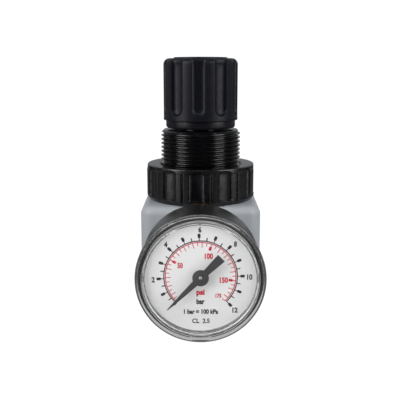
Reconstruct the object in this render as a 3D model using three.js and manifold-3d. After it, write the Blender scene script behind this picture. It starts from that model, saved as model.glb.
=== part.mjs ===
// Miniature compressed-air pressure regulator with a 40 mm centre-back gauge.
//
// Millimetres, +Z up. The origin is where the pipe axis (X) crosses the spindle axis (Z).
// Air enters at -X and leaves at +X. The gauge looks along -Y, which is the front.

import * as THREE from 'three';
import { mergeVertices } from 'three/addons/utils/BufferGeometryUtils.js';
import Module from 'manifold-3d';

const wasm = await Module();
wasm.setup();

// ---------------------------------------------------------------- driving dimensions

const GAP = 0.3;                   // clearance kept between pieces that touch
const ROUND = 32;                  // facets of the large turned pieces
const FINE = 14;                   // facets of the small turned pieces
const DIAL_FACETS = 36;            // facets of the gauge's case, window and dial

// Cast body
const BODY_WIDTH = 43.5;           // X
const BODY_DEPTH = 42;             // Y
const BODY_TOP = 15.2;
const BODY_BOTTOM = -17;
const BODY_CORNER = 5;             // radius of the upright corners
const BODY_EDGE = 2.6;             // rounding of the top and bottom edges
const NECK_R = 18;                 // threaded neck that the clamp ring screws on
const NECK_TOP = 20;
const BOSS_R = 14;                 // round boss below the body
const BOSS_BOTTOM = -20;
const PIPE_SOCKET_R = 5.9;         // G1/4 core radius
const PIPE_SOCKET_DEPTH = 10.75;
const GAUGE_SOCKET_R = 5.2;        // G1/8 socket
const GAUGE_SOCKET_DEPTH = 9;
const UPPER_R = 14;                // regulated-pressure chamber under the diaphragm
const UPPER_FLOOR = 8;
const LOWER_R = 8.5;               // supply-pressure chamber around the valve
const LOWER_ROOF = -1.2;
const SEAT_POCKET_R = 6.3;
const SEAT_POCKET_ROOF = 3;
const WEB_BORE_R = 4.2;            // bore above the valve seat, into the upper chamber

// Clamp ring, bonnet and its M30 x 1.5 neck
const RING_R = 20.5;
const RING_BOTTOM = 15.3;
const RING_TOP = 28.7;
const RING_FLUTES = 12;
const RING_PHASE = -4;             // degrees of one flute from the front
const BONNET_BOTTOM = 21.7;
const BONNET_TOP = 41.6;
const THREAD_R = 15;
const BONNET_BORE_R = 11.6;
const BONNET_ROOF = 38.2;          // underside of the bonnet's end wall
const BONNET_BOSS_R = 8;
const BONNET_BOSS_TOP = 45.4;

// Knob and its locking collar
const KNOB_R = 13.9;
const KNOB_BOTTOM = 45.2;
const KNOB_TOP = 68.4;
const KNOB_FLUTES = 10;
const KNOB_PHASE = -3;             // degrees of one flute from the front
const LOCK_STROKE = 1.6;           // how far the knob is pushed down to lock it
const COLLAR_R = 13.05;
const COLLAR_BOTTOM = 42.2;
const COLLAR_TOP = 45.1;
const LOCK_TEETH = 12;

// Adjusting screw, Tr8 x 1.5, and the two springs
const SCREW_R = 4;
const SCREW_FLANGE = [34.9, 37.3];
const SCREW_TOP = 57.8;
const HEX_ACROSS_FLATS = 7;
const KNOB_SCREW_HOLE_R = 1.8;
const SPRING_BOTTOM = 19.5;
const SPRING_TOP = 32;

// Gauge, along its own axis: z is the distance in front of the spindle axis
const GAUGE_R = 20.5;
const WINDOW_FRONT = 58;
const WINDOW_BACK = 56.8;          // back of the clear disc
const CASE_FRONT = 55.3;
const CASE_SHOULDER = 54.7;        // step that the window's wall reaches back to
const CASE_BACK = 35.2;
const CASE_FLOOR = 37;
const CASE_INNER_R = 17.8;
const CASE_SCREW_X = 8.2;
const POINTER_SPAN = [54.7, 55];
const STEM_BLOCK = [37.3, 42.2];   // block that carries the Bourdon tube and the movement
const DIAL_FACE = 53.3;
const DIAL_R = 18.4;
const SECTOR_PIVOT_Y = -11;
const SECTOR_R = 9.6;
const SECTOR_SWING = 27;           // degrees, full scale
const TAIL_LENGTH = 4;
const SECTOR_SPAN = [45.8, 46.6];
const ARBOR_R = 0.45;
const PIVOT_HOLE_R = 0.6;
const TUBE_R = 14;                 // Bourdon tube's mean radius
const TUBE_SPAN = [42.6, 46.6];

// ---------------------------------------------------------------- solids and helpers

const degrees = (angle) => angle * Math.PI / 180;

// A closed geometry as a solid for joining and cutting, with its faces pointing out.
function solid(geometry) {
  const bare = geometry.clone();
  bare.deleteAttribute('normal');
  bare.deleteAttribute('uv');
  const merged = mergeVertices(bare, 1e-4);
  const position = merged.getAttribute('position').array;
  const corner = (i) => new THREE.Vector3().fromArray(position, 3 * i);
  const triangles = [];
  let volume = 0;
  const index = merged.index.array;
  for (let i = 0; i < index.length; i += 3) {
    const [a, b, c] = [index[i], index[i + 1], index[i + 2]];
    if (a === b || b === c || c === a) continue;
    triangles.push(a, b, c);
    volume += corner(a).dot(corner(b).cross(corner(c)));
  }
  if (volume < 0) triangles.reverse();
  return new wasm.Manifold(new wasm.Mesh({
    numProp: 3,
    vertProperties: new Float32Array(position),
    triVerts: new Uint32Array(triangles),
  }));
}

function geometryOf(manifold) {
  const mesh = manifold.getMesh();
  const geometry = new THREE.BufferGeometry();
  geometry.setAttribute('position', new THREE.BufferAttribute(mesh.vertProperties, 3));
  geometry.setIndex(new THREE.BufferAttribute(mesh.triVerts, 1));
  geometry.computeVertexNormals();
  return geometry;
}

const joined = (first, ...rest) => rest.reduce((whole, next) => whole.add(next), first);
const cut = (first, ...rest) => rest.reduce((whole, next) => whole.subtract(next), first);

// Turns a closed profile of [radius, z] points about the Z axis.
function turned(profile, facets = FINE) {
  const points = profile.map(([r, z]) => new THREE.Vector2(r, z));
  const last = profile[profile.length - 1];
  const closesOnAxis = profile[0][0] === 0 && last[0] === 0;
  if (!closesOnAxis) points.push(points[0].clone());
  return solid(new THREE.LatheGeometry(points, facets).rotateX(Math.PI / 2));
}

const rod = (r, z0, z1, facets = FINE) => turned([[0, z0], [r, z0], [r, z1], [0, z1]], facets);

const tube = (inner, outer, z0, z1, facets = FINE) =>
  turned([[inner, z0], [outer, z0], [outer, z1], [inner, z1]], facets);

// A rod along X or Y, from one place on that axis to another, at height z.
function rodAlong(axis, r, from, to, z = 0) {
  const length = to - from;
  const geometry = new THREE.CylinderGeometry(r, r, length, FINE);
  if (axis === 'x') geometry.rotateZ(-Math.PI / 2).translate(from + length / 2, 0, z);
  else geometry.translate(0, from + length / 2, z);
  return solid(geometry);
}

function box(x0, x1, y0, y1, z0, z1) {
  const geometry = new THREE.BoxGeometry(x1 - x0, y1 - y0, z1 - z0);
  return solid(geometry.translate((x0 + x1) / 2, (y0 + y1) / 2, (z0 + z1) / 2));
}

// Extrudes an outline from z0 to z1.
function extruded(shape, z0, z1, curveSegments = 6) {
  const options = { depth: z1 - z0, bevelEnabled: false, curveSegments };
  return solid(new THREE.ExtrudeGeometry(shape, options).translate(0, 0, z0));
}

const outline = (points) => new THREE.Shape(points.map(([x, y]) => new THREE.Vector2(x, y)));

function hexagon(acrossFlats) {
  const r = acrossFlats / Math.sqrt(3);
  const corners = Array.from({ length: 6 }, (_, i) => degrees(60 * i));
  return outline(corners.map((a) => [r * Math.cos(a), r * Math.sin(a)]));
}

// Part of a flat ring between two radii and two angles in degrees.
function arcBand(inner, outer, from, to, facets) {
  const at = (r, i) => {
    const a = degrees(from + (to - from) * i / facets);
    return [r * Math.cos(a), r * Math.sin(a)];
  };
  const steps = Array.from({ length: facets + 1 }, (_, i) => i);
  const outside = steps.map((i) => at(outer, i));
  const inside = steps.map((i) => at(inner, i)).reverse();
  return outline([...outside, ...inside]);
}

function roundedRectangle(width, depth, r) {
  const [x, y] = [width / 2, depth / 2];
  const shape = new THREE.Shape();
  shape.moveTo(-x + r, -y);
  shape.lineTo(x - r, -y);
  shape.absarc(x - r, -y + r, r, -Math.PI / 2, 0);
  shape.lineTo(x, y - r);
  shape.absarc(x - r, y - r, r, 0, Math.PI / 2);
  shape.lineTo(-x + r, y);
  shape.absarc(-x + r, y - r, r, Math.PI / 2, Math.PI);
  shape.lineTo(-x, -y + r);
  shape.absarc(-x + r, -y + r, r, Math.PI, 1.5 * Math.PI);
  return shape;
}

// Copies of a solid round the Z axis; the angle is measured from the front (-Y).
const spread = (piece, count, phase = 0) =>
  Array.from({ length: count }, (_, i) => piece.rotate([0, 0, phase + 360 * i / count]));

// A round-wire spring with closed, squared ends.
function coilSpring(meanR, wireR, z0, z1, turns) {
  class Coil extends THREE.Curve {
    getPoint(t, target = new THREE.Vector3()) {
      const a = 2 * Math.PI * turns * t;
      const rise = (z1 - z0 - 2 * wireR) * THREE.MathUtils.smoothstep(t, 0.04, 0.96) * 0.15
        + (z1 - z0 - 2 * wireR) * t * 0.85;
      return target.set(meanR * Math.cos(a), meanR * Math.sin(a), z0 + wireR + rise);
    }
  }
  const section = new THREE.Shape().absarc(0, 0, wireR, 0, 2 * Math.PI);
  const options = { steps: Math.round(turns * 10), extrudePath: new Coil(), curveSegments: 3 };
  return solid(new THREE.ExtrudeGeometry(section, options));
}

function ringSeal(meanR, sectionR, z) {
  const geometry = new THREE.TorusGeometry(meanR, sectionR, 6, FINE);
  return solid(geometry.translate(0, 0, z));
}

const COLOURS = {
  greyPaint: ['#a9adb4', 0.55, 0.1],
  blackPlastic: ['#1b1b1e', 0.6, 0],
  blackGloss: ['#0e0e10', 0.3, 0],
  clear: ['#dfe8ee', 0.05, 0],
  dialWhite: ['#e4e4e4', 0.6, 0],
  pointerGrey: ['#3a3b3d', 0.5, 0],
  brass: ['#c9a64b', 0.3, 0.9],
  steel: ['#a8abb0', 0.3, 0.9],
  zinc: ['#b9bcc0', 0.4, 0.7],
  rubber: ['#161616', 0.85, 0],
  phosphorBronze: ['#b9773f', 0.35, 0.9],
};

const regulator = new THREE.Group();

// The gauge's group: x to the right, y up and z towards the viewer, as the dial is drawn.
const gauge = new THREE.Group();
gauge.rotation.x = Math.PI / 2;
regulator.add(gauge);

function add(parent, name, colour, piece) {
  const [color, roughness, metalness] = COLOURS[colour];
  const material = new THREE.MeshStandardMaterial({ color, roughness, metalness });
  const mesh = new THREE.Mesh(geometryOf(piece), material);
  mesh.name = name;
  parent.add(mesh);
}

// ---------------------------------------------------------------- cast body and plugs

function body() {
  const options = {
    depth: BODY_TOP - BODY_BOTTOM - 2 * BODY_EDGE,
    bevelThickness: BODY_EDGE,
    bevelSize: BODY_EDGE,
    bevelOffset: -BODY_EDGE,
    bevelSegments: 2,
    curveSegments: 2,
  };
  const shape = roundedRectangle(BODY_WIDTH, BODY_DEPTH, BODY_CORNER);
  const block = solid(new THREE.ExtrudeGeometry(shape, options)
    .translate(0, 0, BODY_BOTTOM + BODY_EDGE));
  const neck = rod(NECK_R, 0, NECK_TOP, ROUND);
  const boss = rod(BOSS_R, BOSS_BOTTOM, 0, ROUND);

  const x = BODY_WIDTH / 2;
  const y = BODY_DEPTH / 2;
  const past = 1;                  // cutters run this far out of the block
  const riserReach = 13;           // from the spindle axis to each riser
  const outletRiserR = 2.2;
  const gaugeRiserR = 1.6;
  const [inletPassageR, inletPassageZ] = [2.4, -4];
  const riser = (r, dx, dy) => rod(r, 0, UPPER_FLOOR + past, 16).translate([dx, dy, 0]);
  return cut(
    joined(block, neck, boss),
    rod(UPPER_R, UPPER_FLOOR, NECK_TOP + past, ROUND),
    rod(LOWER_R, BOSS_BOTTOM - past, LOWER_ROOF, ROUND),
    rod(SEAT_POCKET_R, LOWER_ROOF - past, SEAT_POCKET_ROOF),
    rod(WEB_BORE_R, 0, UPPER_FLOOR + past),
    rodAlong('x', PIPE_SOCKET_R, -x - past, -x + PIPE_SOCKET_DEPTH),
    rodAlong('x', inletPassageR, -x + PIPE_SOCKET_DEPTH - past, -LOWER_R + past, inletPassageZ),
    rodAlong('x', PIPE_SOCKET_R, x - PIPE_SOCKET_DEPTH, x + past),
    riser(outletRiserR, riserReach, 0),
    rodAlong('y', GAUGE_SOCKET_R, -y - past, -y + GAUGE_SOCKET_DEPTH),
    riser(gaugeRiserR, 0, -riserReach),
    rodAlong('y', GAUGE_SOCKET_R, y - GAUGE_SOCKET_DEPTH, y + past),
    riser(gaugeRiserR, 0, riserReach),
  );
}

const PLUG_TOP = -15;

function bottomPlug() {
  const [flangeBottom, flangeTop] = [-27, BOSS_BOTTOM - GAP];
  const flangeR = BOSS_R - 1;
  const chamfer = 1.2;
  const shankR = LOWER_R - GAP;
  const [grooveBottom, grooveTop] = [-18.8, -16.8];
  const guideR = 3.3;
  const profile = [[0, flangeBottom], [flangeR - chamfer, flangeBottom],
    [flangeR, flangeBottom + 1], [flangeR, flangeTop], [shankR, flangeTop],
    [shankR, grooveBottom], [shankR - 1.2, grooveBottom], [shankR - 1.2, grooveTop],
    [shankR, grooveTop], [shankR, PLUG_TOP], [0, PLUG_TOP]];
  const guide = rod(guideR, flangeBottom + 5, PLUG_TOP + 1);
  const socket = extruded(hexagon(12), flangeBottom - 1, flangeBottom + 2.5);
  return cut(turned(profile, ROUND), guide, socket);
}

function backPortPlug() {
  const inner = BODY_DEPTH / 2 - 8.2;
  const face = BODY_DEPTH / 2 + 1.6;
  const shankR = GAUGE_SOCKET_R - 0.35;
  const headR = 7.2;
  const head = 3.6;
  const plug = turned([[0, inner], [shankR, inner], [shankR, face], [headR, face],
    [headR, face + head - 0.6], [headR - 0.6, face + head], [0, face + head]]);
  const socket = extruded(hexagon(5), face - 0.4, face + head + 1);
  return cut(plug, socket).rotate([-90, 0, 0]);
}

add(regulator, 'body', 'greyPaint', body());
add(regulator, 'bottom_plug', 'blackPlastic', bottomPlug());
add(regulator, 'bottom_plug_o_ring', 'rubber', ringSeal(7.75, 0.5, -17.8));
add(regulator, 'back_port_plug', 'zinc', backPortPlug());
add(regulator, 'back_plug_seal', 'rubber',
  tube(5.3, 7.2, BODY_DEPTH / 2 + GAP, BODY_DEPTH / 2 + 1.3).rotate([-90, 0, 0]));

// ---------------------------------------------------------------- supply valve

const SEAT_R = 3;
const SEAT_LIP = -1.6;
const POPPET_HEAD = [-6, -3.2];
const POPPET_TIP = 14.7;

function valveSeat() {
  const shoulder = LOWER_ROOF + GAP;
  const outerR = SEAT_POCKET_R - GAP;
  const top = SEAT_POCKET_ROOF - GAP;
  return turned([[SEAT_R, SEAT_LIP], [SEAT_R + 0.8, SEAT_LIP], [SEAT_R + 1.1, shoulder],
    [outerR, shoulder], [outerR, top], [SEAT_R, top]]);
}

// The tail slides in the bottom plug; the stem reaches up through the seat to the diaphragm.
function poppet() {
  const [tailR, grooveR, headR, neckR, stemR] = [3, 2.2, 5.6, 1.8, 1.2];
  const [tailEnd, grooveBottom, grooveTop] = [-17, -16.8, -15.9];
  const [headBottom, headTop] = POPPET_HEAD;
  return turned([[0, tailEnd], [tailR, tailEnd], [tailR, grooveBottom], [grooveR, grooveBottom],
    [grooveR, grooveTop], [tailR, grooveTop], [tailR, headBottom], [headR, headBottom],
    [headR, headTop], [neckR, headTop], [neckR, -1], [stemR, -0.6], [stemR, POPPET_TIP - 0.4],
    [stemR - 0.4, POPPET_TIP], [0, POPPET_TIP]]);
}

add(regulator, 'valve_seat', 'brass', valveSeat());
add(regulator, 'poppet', 'brass', poppet());
add(regulator, 'valve_disc', 'rubber', tube(2.1, 5.2, POPPET_HEAD[1] + GAP, SEAT_LIP - GAP));
add(regulator, 'poppet_o_ring', 'rubber', ringSeal(2.75, 0.32, -16.35));
add(regulator, 'valve_spring', 'steel',
  coilSpring(4.6, 0.45, PLUG_TOP + GAP, POPPET_HEAD[0] - GAP, 5));

// ---------------------------------------------------------------- diaphragm

const HUB_R = 2.9;                 // relief seat's hub, which passes through the diaphragm
const RELIEF_HOLE_R = 0.9;
const SHEET = 1.1;                 // diaphragm's thickness
const RELIEF_BOTTOM = POPPET_TIP + GAP;
const SHEET_BOTTOM = 16.6;
const RIM_BOTTOM = NECK_TOP + GAP;
const PLATE_BOTTOM = SHEET_BOTTOM + SHEET + GAP;

const reliefSeat = turned([[RELIEF_HOLE_R, RELIEF_BOTTOM], [8.5, RELIEF_BOTTOM],
  [8.5, SHEET_BOTTOM - GAP], [HUB_R, SHEET_BOTTOM - GAP], [HUB_R, 20.4], [RELIEF_HOLE_R, 20.4]]);
const diaphragm = turned([[HUB_R + GAP, SHEET_BOTTOM], [10, SHEET_BOTTOM], [13.4, RIM_BOTTOM],
  [17.4, RIM_BOTTOM], [17.4, RIM_BOTTOM + SHEET], [12.9, RIM_BOTTOM + SHEET],
  [9.5, SHEET_BOTTOM + SHEET], [HUB_R + GAP, SHEET_BOTTOM + SHEET]], ROUND);
const diaphragmPlate = turned([[HUB_R + GAP, PLATE_BOTTOM], [9.2, PLATE_BOTTOM],
  [9.2, SPRING_BOTTOM - GAP], [5.6, SPRING_BOTTOM - GAP], [5.6, 20.8], [HUB_R + GAP, 20.8]]);
add(regulator, 'relief_seat', 'brass', reliefSeat);
add(regulator, 'diaphragm', 'rubber', diaphragm);
add(regulator, 'diaphragm_plate', 'zinc', diaphragmPlate);
add(regulator, 'control_spring', 'steel', coilSpring(7, 0.8, SPRING_BOTTOM, SPRING_TOP, 4.5));

// ---------------------------------------------------------------- adjusting screw and nut

const EAR_WIDTH = 3;               // the nut's ears run in the bonnet's two grooves

function springNut() {
  const [bottom, shelf, top] = [27, SPRING_TOP + GAP, SCREW_FLANGE[0] - GAP * 2];
  const [boreR, hubR, flangeR] = [SCREW_R + 0.2, 5.2, 11.2];
  const flange = [[boreR, bottom], [hubR, bottom], [hubR, shelf], [flangeR, shelf],
    [flangeR, top], [boreR, top]];
  const ear = box(-EAR_WIDTH / 2, EAR_WIDTH / 2, flangeR - 1.2, flangeR + 1.2, shelf, top);
  return joined(turned(flange), ...spread(ear, 2));
}

function adjustingScrew() {
  const [flangeBottom, flangeTop] = SCREW_FLANGE;
  const [bottom, coreR, flangeR] = [23.5, 3.4, 7];
  const [grooveR, grooveBottom, grooveTop] = [3.2, BONNET_BOSS_TOP + GAP, 46.9];
  const shaft = turned([[0, bottom], [coreR, bottom], [SCREW_R, bottom + 0.7],
    [SCREW_R, flangeBottom], [flangeR, flangeBottom], [flangeR, flangeTop],
    [SCREW_R, flangeTop], [SCREW_R, grooveBottom], [grooveR, grooveBottom],
    [grooveR, grooveTop], [coreR, grooveTop], [coreR, grooveTop + 3], [0, grooveTop + 3]]);
  const hex = extruded(hexagon(HEX_ACROSS_FLATS), grooveTop, SCREW_TOP);
  return cut(joined(shaft, hex), rod(KNOB_SCREW_HOLE_R, grooveTop + 3, SCREW_TOP + 1));
}

add(regulator, 'spring_nut', 'brass', springNut());
add(regulator, 'adjusting_screw', 'steel', adjustingScrew());
add(regulator, 'thrust_washer', 'steel',
  tube(SCREW_R + 0.4, 7, SCREW_FLANGE[1] + GAP, BONNET_ROOF - GAP));
add(regulator, 'retaining_ring', 'steel',
  cut(tube(3.5, 6, BONNET_BOSS_TOP + 0.5, 46.7), box(2, 7, -1.4, 1.4, 45, 48)));

// ---------------------------------------------------------------- bonnet, clamp ring, collar

function bonnet() {
  const chamfer = 1.1;
  const [flangeR, flangeTop] = [17.6, 24.3];
  const shell = turned([[0, BONNET_BOTTOM], [flangeR, BONNET_BOTTOM], [flangeR, flangeTop],
    [THREAD_R, flangeTop], [THREAD_R, BONNET_TOP - chamfer], [THREAD_R - chamfer, BONNET_TOP],
    [BONNET_BOSS_R, BONNET_TOP], [BONNET_BOSS_R, BONNET_BOSS_TOP], [0, BONNET_BOSS_TOP]], ROUND);
  const grooveHalf = EAR_WIDTH / 2 + 0.4;
  const groove = box(-grooveHalf, grooveHalf, BONNET_BORE_R - 1.6, BONNET_BORE_R + 1.2,
    BONNET_BOTTOM - 1, BONNET_ROOF);
  return cut(shell, rod(BONNET_BORE_R, BONNET_BOTTOM - 1, BONNET_ROOF, ROUND),
    rod(SCREW_R + GAP, BONNET_ROOF - 1, BONNET_BOSS_TOP + 1), ...spread(groove, 2));
}

// A flute is a shallow round-bottomed scallop; each land between flutes has a V notch.
function clampRing() {
  const [rim, lipHeight] = [1.6, 2];
  const [chamferWidth, chamferHeight] = [0.9, 1.5];
  const skirtR = NECK_R + GAP;
  const [holeR, ceiling] = [THREAD_R + 0.4, 24.7];
  const shell = turned([[skirtR, RING_BOTTOM], [RING_R - chamferWidth, RING_BOTTOM],
    [RING_R, RING_BOTTOM + chamferHeight], [RING_R, RING_TOP - 0.4],
    [RING_R - 0.4, RING_TOP], [holeR, RING_TOP], [holeR, ceiling], [skirtR, ceiling]], ROUND);
  const fluteTop = RING_TOP - rim;
  const fluteR = 4;
  const flute = rod(fluteR, RING_BOTTOM + lipHeight, fluteTop, 12)
    .translate([0, -(RING_R + 3), 0]);
  const [notchHalf, notchTip, notchMouth] = [0.9, RING_R - 0.6, RING_R + 0.6];
  const notchShape = outline([[0, -notchTip], [-notchHalf, -notchMouth],
    [notchHalf, -notchMouth]]);
  const notch = extruded(notchShape, RING_BOTTOM - 1, fluteTop);
  return cut(shell, ...spread(flute, RING_FLUTES, RING_PHASE),
    ...spread(notch, RING_FLUTES, RING_PHASE + 180 / RING_FLUTES));
}

function lockCollar() {
  const innerR = BONNET_BOSS_R + GAP;
  const ring = turned([[innerR, COLLAR_BOTTOM], [COLLAR_R - 1, COLLAR_BOTTOM],
    [COLLAR_R - 0.3, COLLAR_BOTTOM + 0.3], [COLLAR_R, COLLAR_BOTTOM + 1],
    [COLLAR_R, COLLAR_TOP], [innerR, COLLAR_TOP]], ROUND);
  const [toothHalf, toothHeight] = [0.8, 1.2];
  const tooth = box(-toothHalf, toothHalf, -10.6, -9, COLLAR_TOP - 0.5, COLLAR_TOP + toothHeight);
  return joined(ring, ...spread(tooth, LOCK_TEETH));
}

add(regulator, 'bonnet', 'blackGloss', bonnet());
add(regulator, 'bonnet_ring', 'blackGloss', clampRing());
add(regulator, 'lock_collar', 'blackPlastic', lockCollar());

// ---------------------------------------------------------------- knob

const CAP_R = 10;
const CAP_BOTTOM = 66.2;

function knob() {
  const cavityTop = 64;
  const hubBottom = 49.5;
  const webBottom = 59.7;
  const webTop = 61.8;
  const shoulder = 2.5;
  const skirt = [[0, KNOB_BOTTOM], [KNOB_R + 0.1, KNOB_BOTTOM], [KNOB_R, KNOB_BOTTOM + 1.2],
    [KNOB_R - 0.05, KNOB_TOP - 0.5 - shoulder], [KNOB_R - 0.8, KNOB_TOP - 1.2],
    [KNOB_R - shoulder, KNOB_TOP - 0.5], [0, KNOB_TOP - 0.5]];
  const solidKnob = turned(skirt, 36);
  const cavity = tube(7, 11.4, hubBottom - 5, cavityTop);
  const recess = rod(KNOB_R - 0.55, KNOB_BOTTOM - 1, KNOB_BOTTOM + 1.7, ROUND);
  const hubClearance = rod(7.5, KNOB_BOTTOM, hubBottom);
  const hexSocket = extruded(hexagon(HEX_ACROSS_FLATS + 0.6), hubBottom - 1, webBottom);
  const screwHole = rod(KNOB_SCREW_HOLE_R, webBottom - 1, webTop + 1);
  const headRoom = rod(3.6, webTop, KNOB_TOP);
  const capPocket = rod(CAP_R + GAP, CAP_BOTTOM - GAP, KNOB_TOP + 1, ROUND);
  const fluteR = 3.4;
  const fluteEndZ = KNOB_BOTTOM + 4.6;
  const fluteEnd = solid(new THREE.SphereGeometry(fluteR, 12, 4).rotateX(Math.PI / 2)
    .translate(0, 0, fluteEndZ));
  const flute = joined(rod(fluteR, fluteEndZ, KNOB_TOP + 2, 12), fluteEnd)
    .translate([0, -(KNOB_R + 2.2), 0]);
  const rib = box(-0.8, 0.8, -11.6, -6.6, KNOB_BOTTOM + 2.3, cavityTop + 0.5);
  const shell = cut(solidKnob, cavity, recess, hubClearance, hexSocket, screwHole, headRoom,
    capPocket, ...spread(flute, KNOB_FLUTES, KNOB_PHASE));
  const ribs = spread(rib, LOCK_TEETH / 2, 180 / LOCK_TEETH);
  return cut(joined(shell, ...ribs), rod(7.3, KNOB_BOTTOM, hubBottom));
}

const knobCap = turned([[0, CAP_BOTTOM], [CAP_R, CAP_BOTTOM], [CAP_R, KNOB_TOP - 0.4],
  [CAP_R - 0.4, KNOB_TOP], [0, KNOB_TOP]], ROUND);
const knobScrew = cut(
  turned([[0, 51], [1.5, 51], [1.5, 62.1], [3, 62.1], [3, 63.6], [2.7, 63.9], [0, 63.9]]),
  extruded(hexagon(2.5), 62.7, 65));
add(regulator, 'knob', 'blackPlastic', knob());
add(regulator, 'knob_cap', 'blackPlastic', knobCap);
add(regulator, 'knob_screw', 'steel', knobScrew);

// ---------------------------------------------------------------- gauge connection and case

const STEM_END = 12.6;
const CASE_HOLE_R = 1.3;

function gaugeStem() {
  const [threadR, flangeR, coreR, neckR, boreR] = [GAUGE_SOCKET_R - 0.35, 7, 6.2, 6, 1.7];
  const [end, flangeBack, flatsBack, flatsFront] = [STEM_END, 23.1, 24.2, 33.2];
  const [blockBack, blockFront] = STEM_BLOCK;
  const shank = turned([[0, end], [threadR - 0.35, end], [threadR, end + 0.6],
    [threadR, flangeBack], [flangeR, flangeBack], [flangeR, flatsBack],
    [coreR, flatsBack + 0.2], [coreR, flatsFront - 0.2], [neckR, flatsFront],
    [neckR, blockBack + 0.7], [0, blockBack + 0.7]]);
  const flats = extruded(roundedRectangle(14, 14, 1.2), flatsBack, flatsFront, 1);
  const block = box(-10, 10, -4, 4, blockBack, blockFront);
  const arm = box(-1.8, 1.8, -(TUBE_R + 1.4), 0, blockBack, blockFront).rotate([0, 0, -38]);
  const riser = extruded(arcBand(TUBE_R - 1.4, TUBE_R + 1.4, 227.5, 242, 3),
    blockFront - 0.7, TUBE_SPAN[1] - GAP);
  const screwHole = (x) => rod(CASE_HOLE_R, blockBack - 1.3, 41, 16).translate([x, 0, 0]);
  return cut(joined(shank, flats, block, arm, riser), rod(boreR, end - 0.6, 39.5, 16),
    screwHole(CASE_SCREW_X), screwHole(-CASE_SCREW_X));
}

const DIAL_THICKNESS = 0.4;
const TAB_WIDTH = 5.7;             // the window's tab at the bottom, for prising it off

function gaugeCase() {
  const [stemHoleR, backR, caseR, rimR, mouthR] = [6.4, 18.8, 19.8, 19.4, 18.65];
  const ledge = DIAL_FACE - DIAL_THICKNESS - GAP;
  const shell = turned([[stemHoleR, CASE_BACK], [backR, CASE_BACK], [caseR, CASE_BACK + 1.3],
    [caseR, CASE_SHOULDER], [rimR, CASE_SHOULDER], [rimR, CASE_FRONT - 0.1],
    [rimR - 0.1, CASE_FRONT], [mouthR, CASE_FRONT], [mouthR, ledge], [CASE_INNER_R, ledge],
    [CASE_INNER_R, CASE_FLOOR], [stemHoleR, CASE_FLOOR]], DIAL_FACETS);
  const hole = (x) => rod(CASE_HOLE_R, CASE_BACK - 1, CASE_FLOOR + 1, 16).translate([x, 0, 0]);
  const half = TAB_WIDTH / 2 + 0.35;
  const tabNotch = box(-half, half, -GAUGE_R, -18.4, 54, CASE_FRONT + 1);
  return cut(shell, hole(CASE_SCREW_X), hole(-CASE_SCREW_X), tabNotch);
}

function gaugeWindow() {
  const [skirtInner, skirtOuter, skirtBack] = [17.75, 18.35, DIAL_FACE + GAP];
  const [wallInner, wallBack] = [19.7, CASE_SHOULDER + GAP];
  const rimBack = CASE_FRONT + GAP;
  const disc = turned([[0, WINDOW_BACK], [skirtInner, WINDOW_BACK], [skirtInner, skirtBack],
    [skirtOuter, skirtBack], [skirtOuter, rimBack], [wallInner, rimBack],
    [wallInner, wallBack], [GAUGE_R, wallBack], [GAUGE_R, WINDOW_FRONT - 0.5],
    [GAUGE_R - 0.5, WINDOW_FRONT], [0, WINDOW_FRONT]], DIAL_FACETS);
  const tab = box(-TAB_WIDTH / 2, TAB_WIDTH / 2, -GAUGE_R + 0.15, -18.75, CASE_FRONT - 1, 56.5);
  return joined(disc, tab);
}

function caseScrew(x) {
  const [headR, shankR] = [1.9, 1];
  const face = CASE_BACK - GAP;
  const tip = 40.5;
  return turned([[0, face - 0.9], [headR, face - 0.9], [headR, face], [shankR, face],
    [shankR, tip], [0, tip]], 16).translate([x, 0, 0]);
}

add(gauge, 'gauge_stem', 'brass', gaugeStem());
add(gauge, 'gauge_stem_seal', 'rubber', tube(5.2, 7.3, BODY_DEPTH / 2 + GAP, 22.8));
add(gauge, 'gauge_throttle', 'brass', tube(0.4, 1.4, STEM_END + GAP, 15.5, 16));
add(gauge, 'gauge_case', 'blackGloss', gaugeCase());
add(gauge, 'case_screw_left', 'steel', caseScrew(-CASE_SCREW_X));
add(gauge, 'case_screw_right', 'steel', caseScrew(CASE_SCREW_X));
add(gauge, 'gauge_window', 'clear', gaugeWindow());

// ---------------------------------------------------------------- dial and pointer

const ZERO_ANGLE = 225;            // degrees clockwise from the top of the dial
const DIAL_HOLE_R = 1.4;

const dial = tube(DIAL_HOLE_R, DIAL_R, DIAL_FACE - DIAL_THICKNESS, DIAL_FACE, DIAL_FACETS);

function pointer() {
  const [tip, tail] = [14.9, -9.2];
  const blade = outline([[0.08, tip], [-0.08, tip], [-1.0, 2.4], [-1.15, -2.3],
    [-1.42, tail], [1.42, tail], [1.15, -2.3], [1.0, 2.4]]);
  const [back, front] = POINTER_SPAN;
  const arm = extruded(blade, back, front);
  const hub = rod(2.6, back - 0.1, front + 0.2, 24);
  const collet = rod(0.95, DIAL_FACE + 0.7, back, 16);
  const bore = rod(PIVOT_HOLE_R, DIAL_FACE, WINDOW_BACK, 12);
  return cut(joined(arm, hub, collet), bore).rotate([0, 0, -ZERO_ANGLE]);
}

add(gauge, 'dial', 'dialWhite', dial);
add(gauge, 'pointer', 'pointerGrey', pointer());

// ---------------------------------------------------------------- gauge movement

const PLATE_SPANS = [[42.6, 43.4], [48.4, 49.2]];
const PILLAR_X = 6;
const PILLAR_Y = -3.8;
const SCREW_HOLE_R = 0.85;
const PINION_SPAN = [45.2, 47.2];
const LINK_SPAN = [46.9, 47.4];
const LINK_PIN_R = 0.4;

function movementPlate([z0, z1]) {
  const shape = outline([[-7.5, 2.6], [7.5, 2.6], [7.5, -6.5], [3, -12.8], [-3, -12.8],
    [-7.5, -6.5]]);
  const pivotHole = rod(PIVOT_HOLE_R, z0 - 1, z1 + 1, 12);
  return cut(extruded(shape, z0, z1), pivotHole,
    pivotHole.translate([0, SECTOR_PIVOT_Y, 0]));
}

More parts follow.
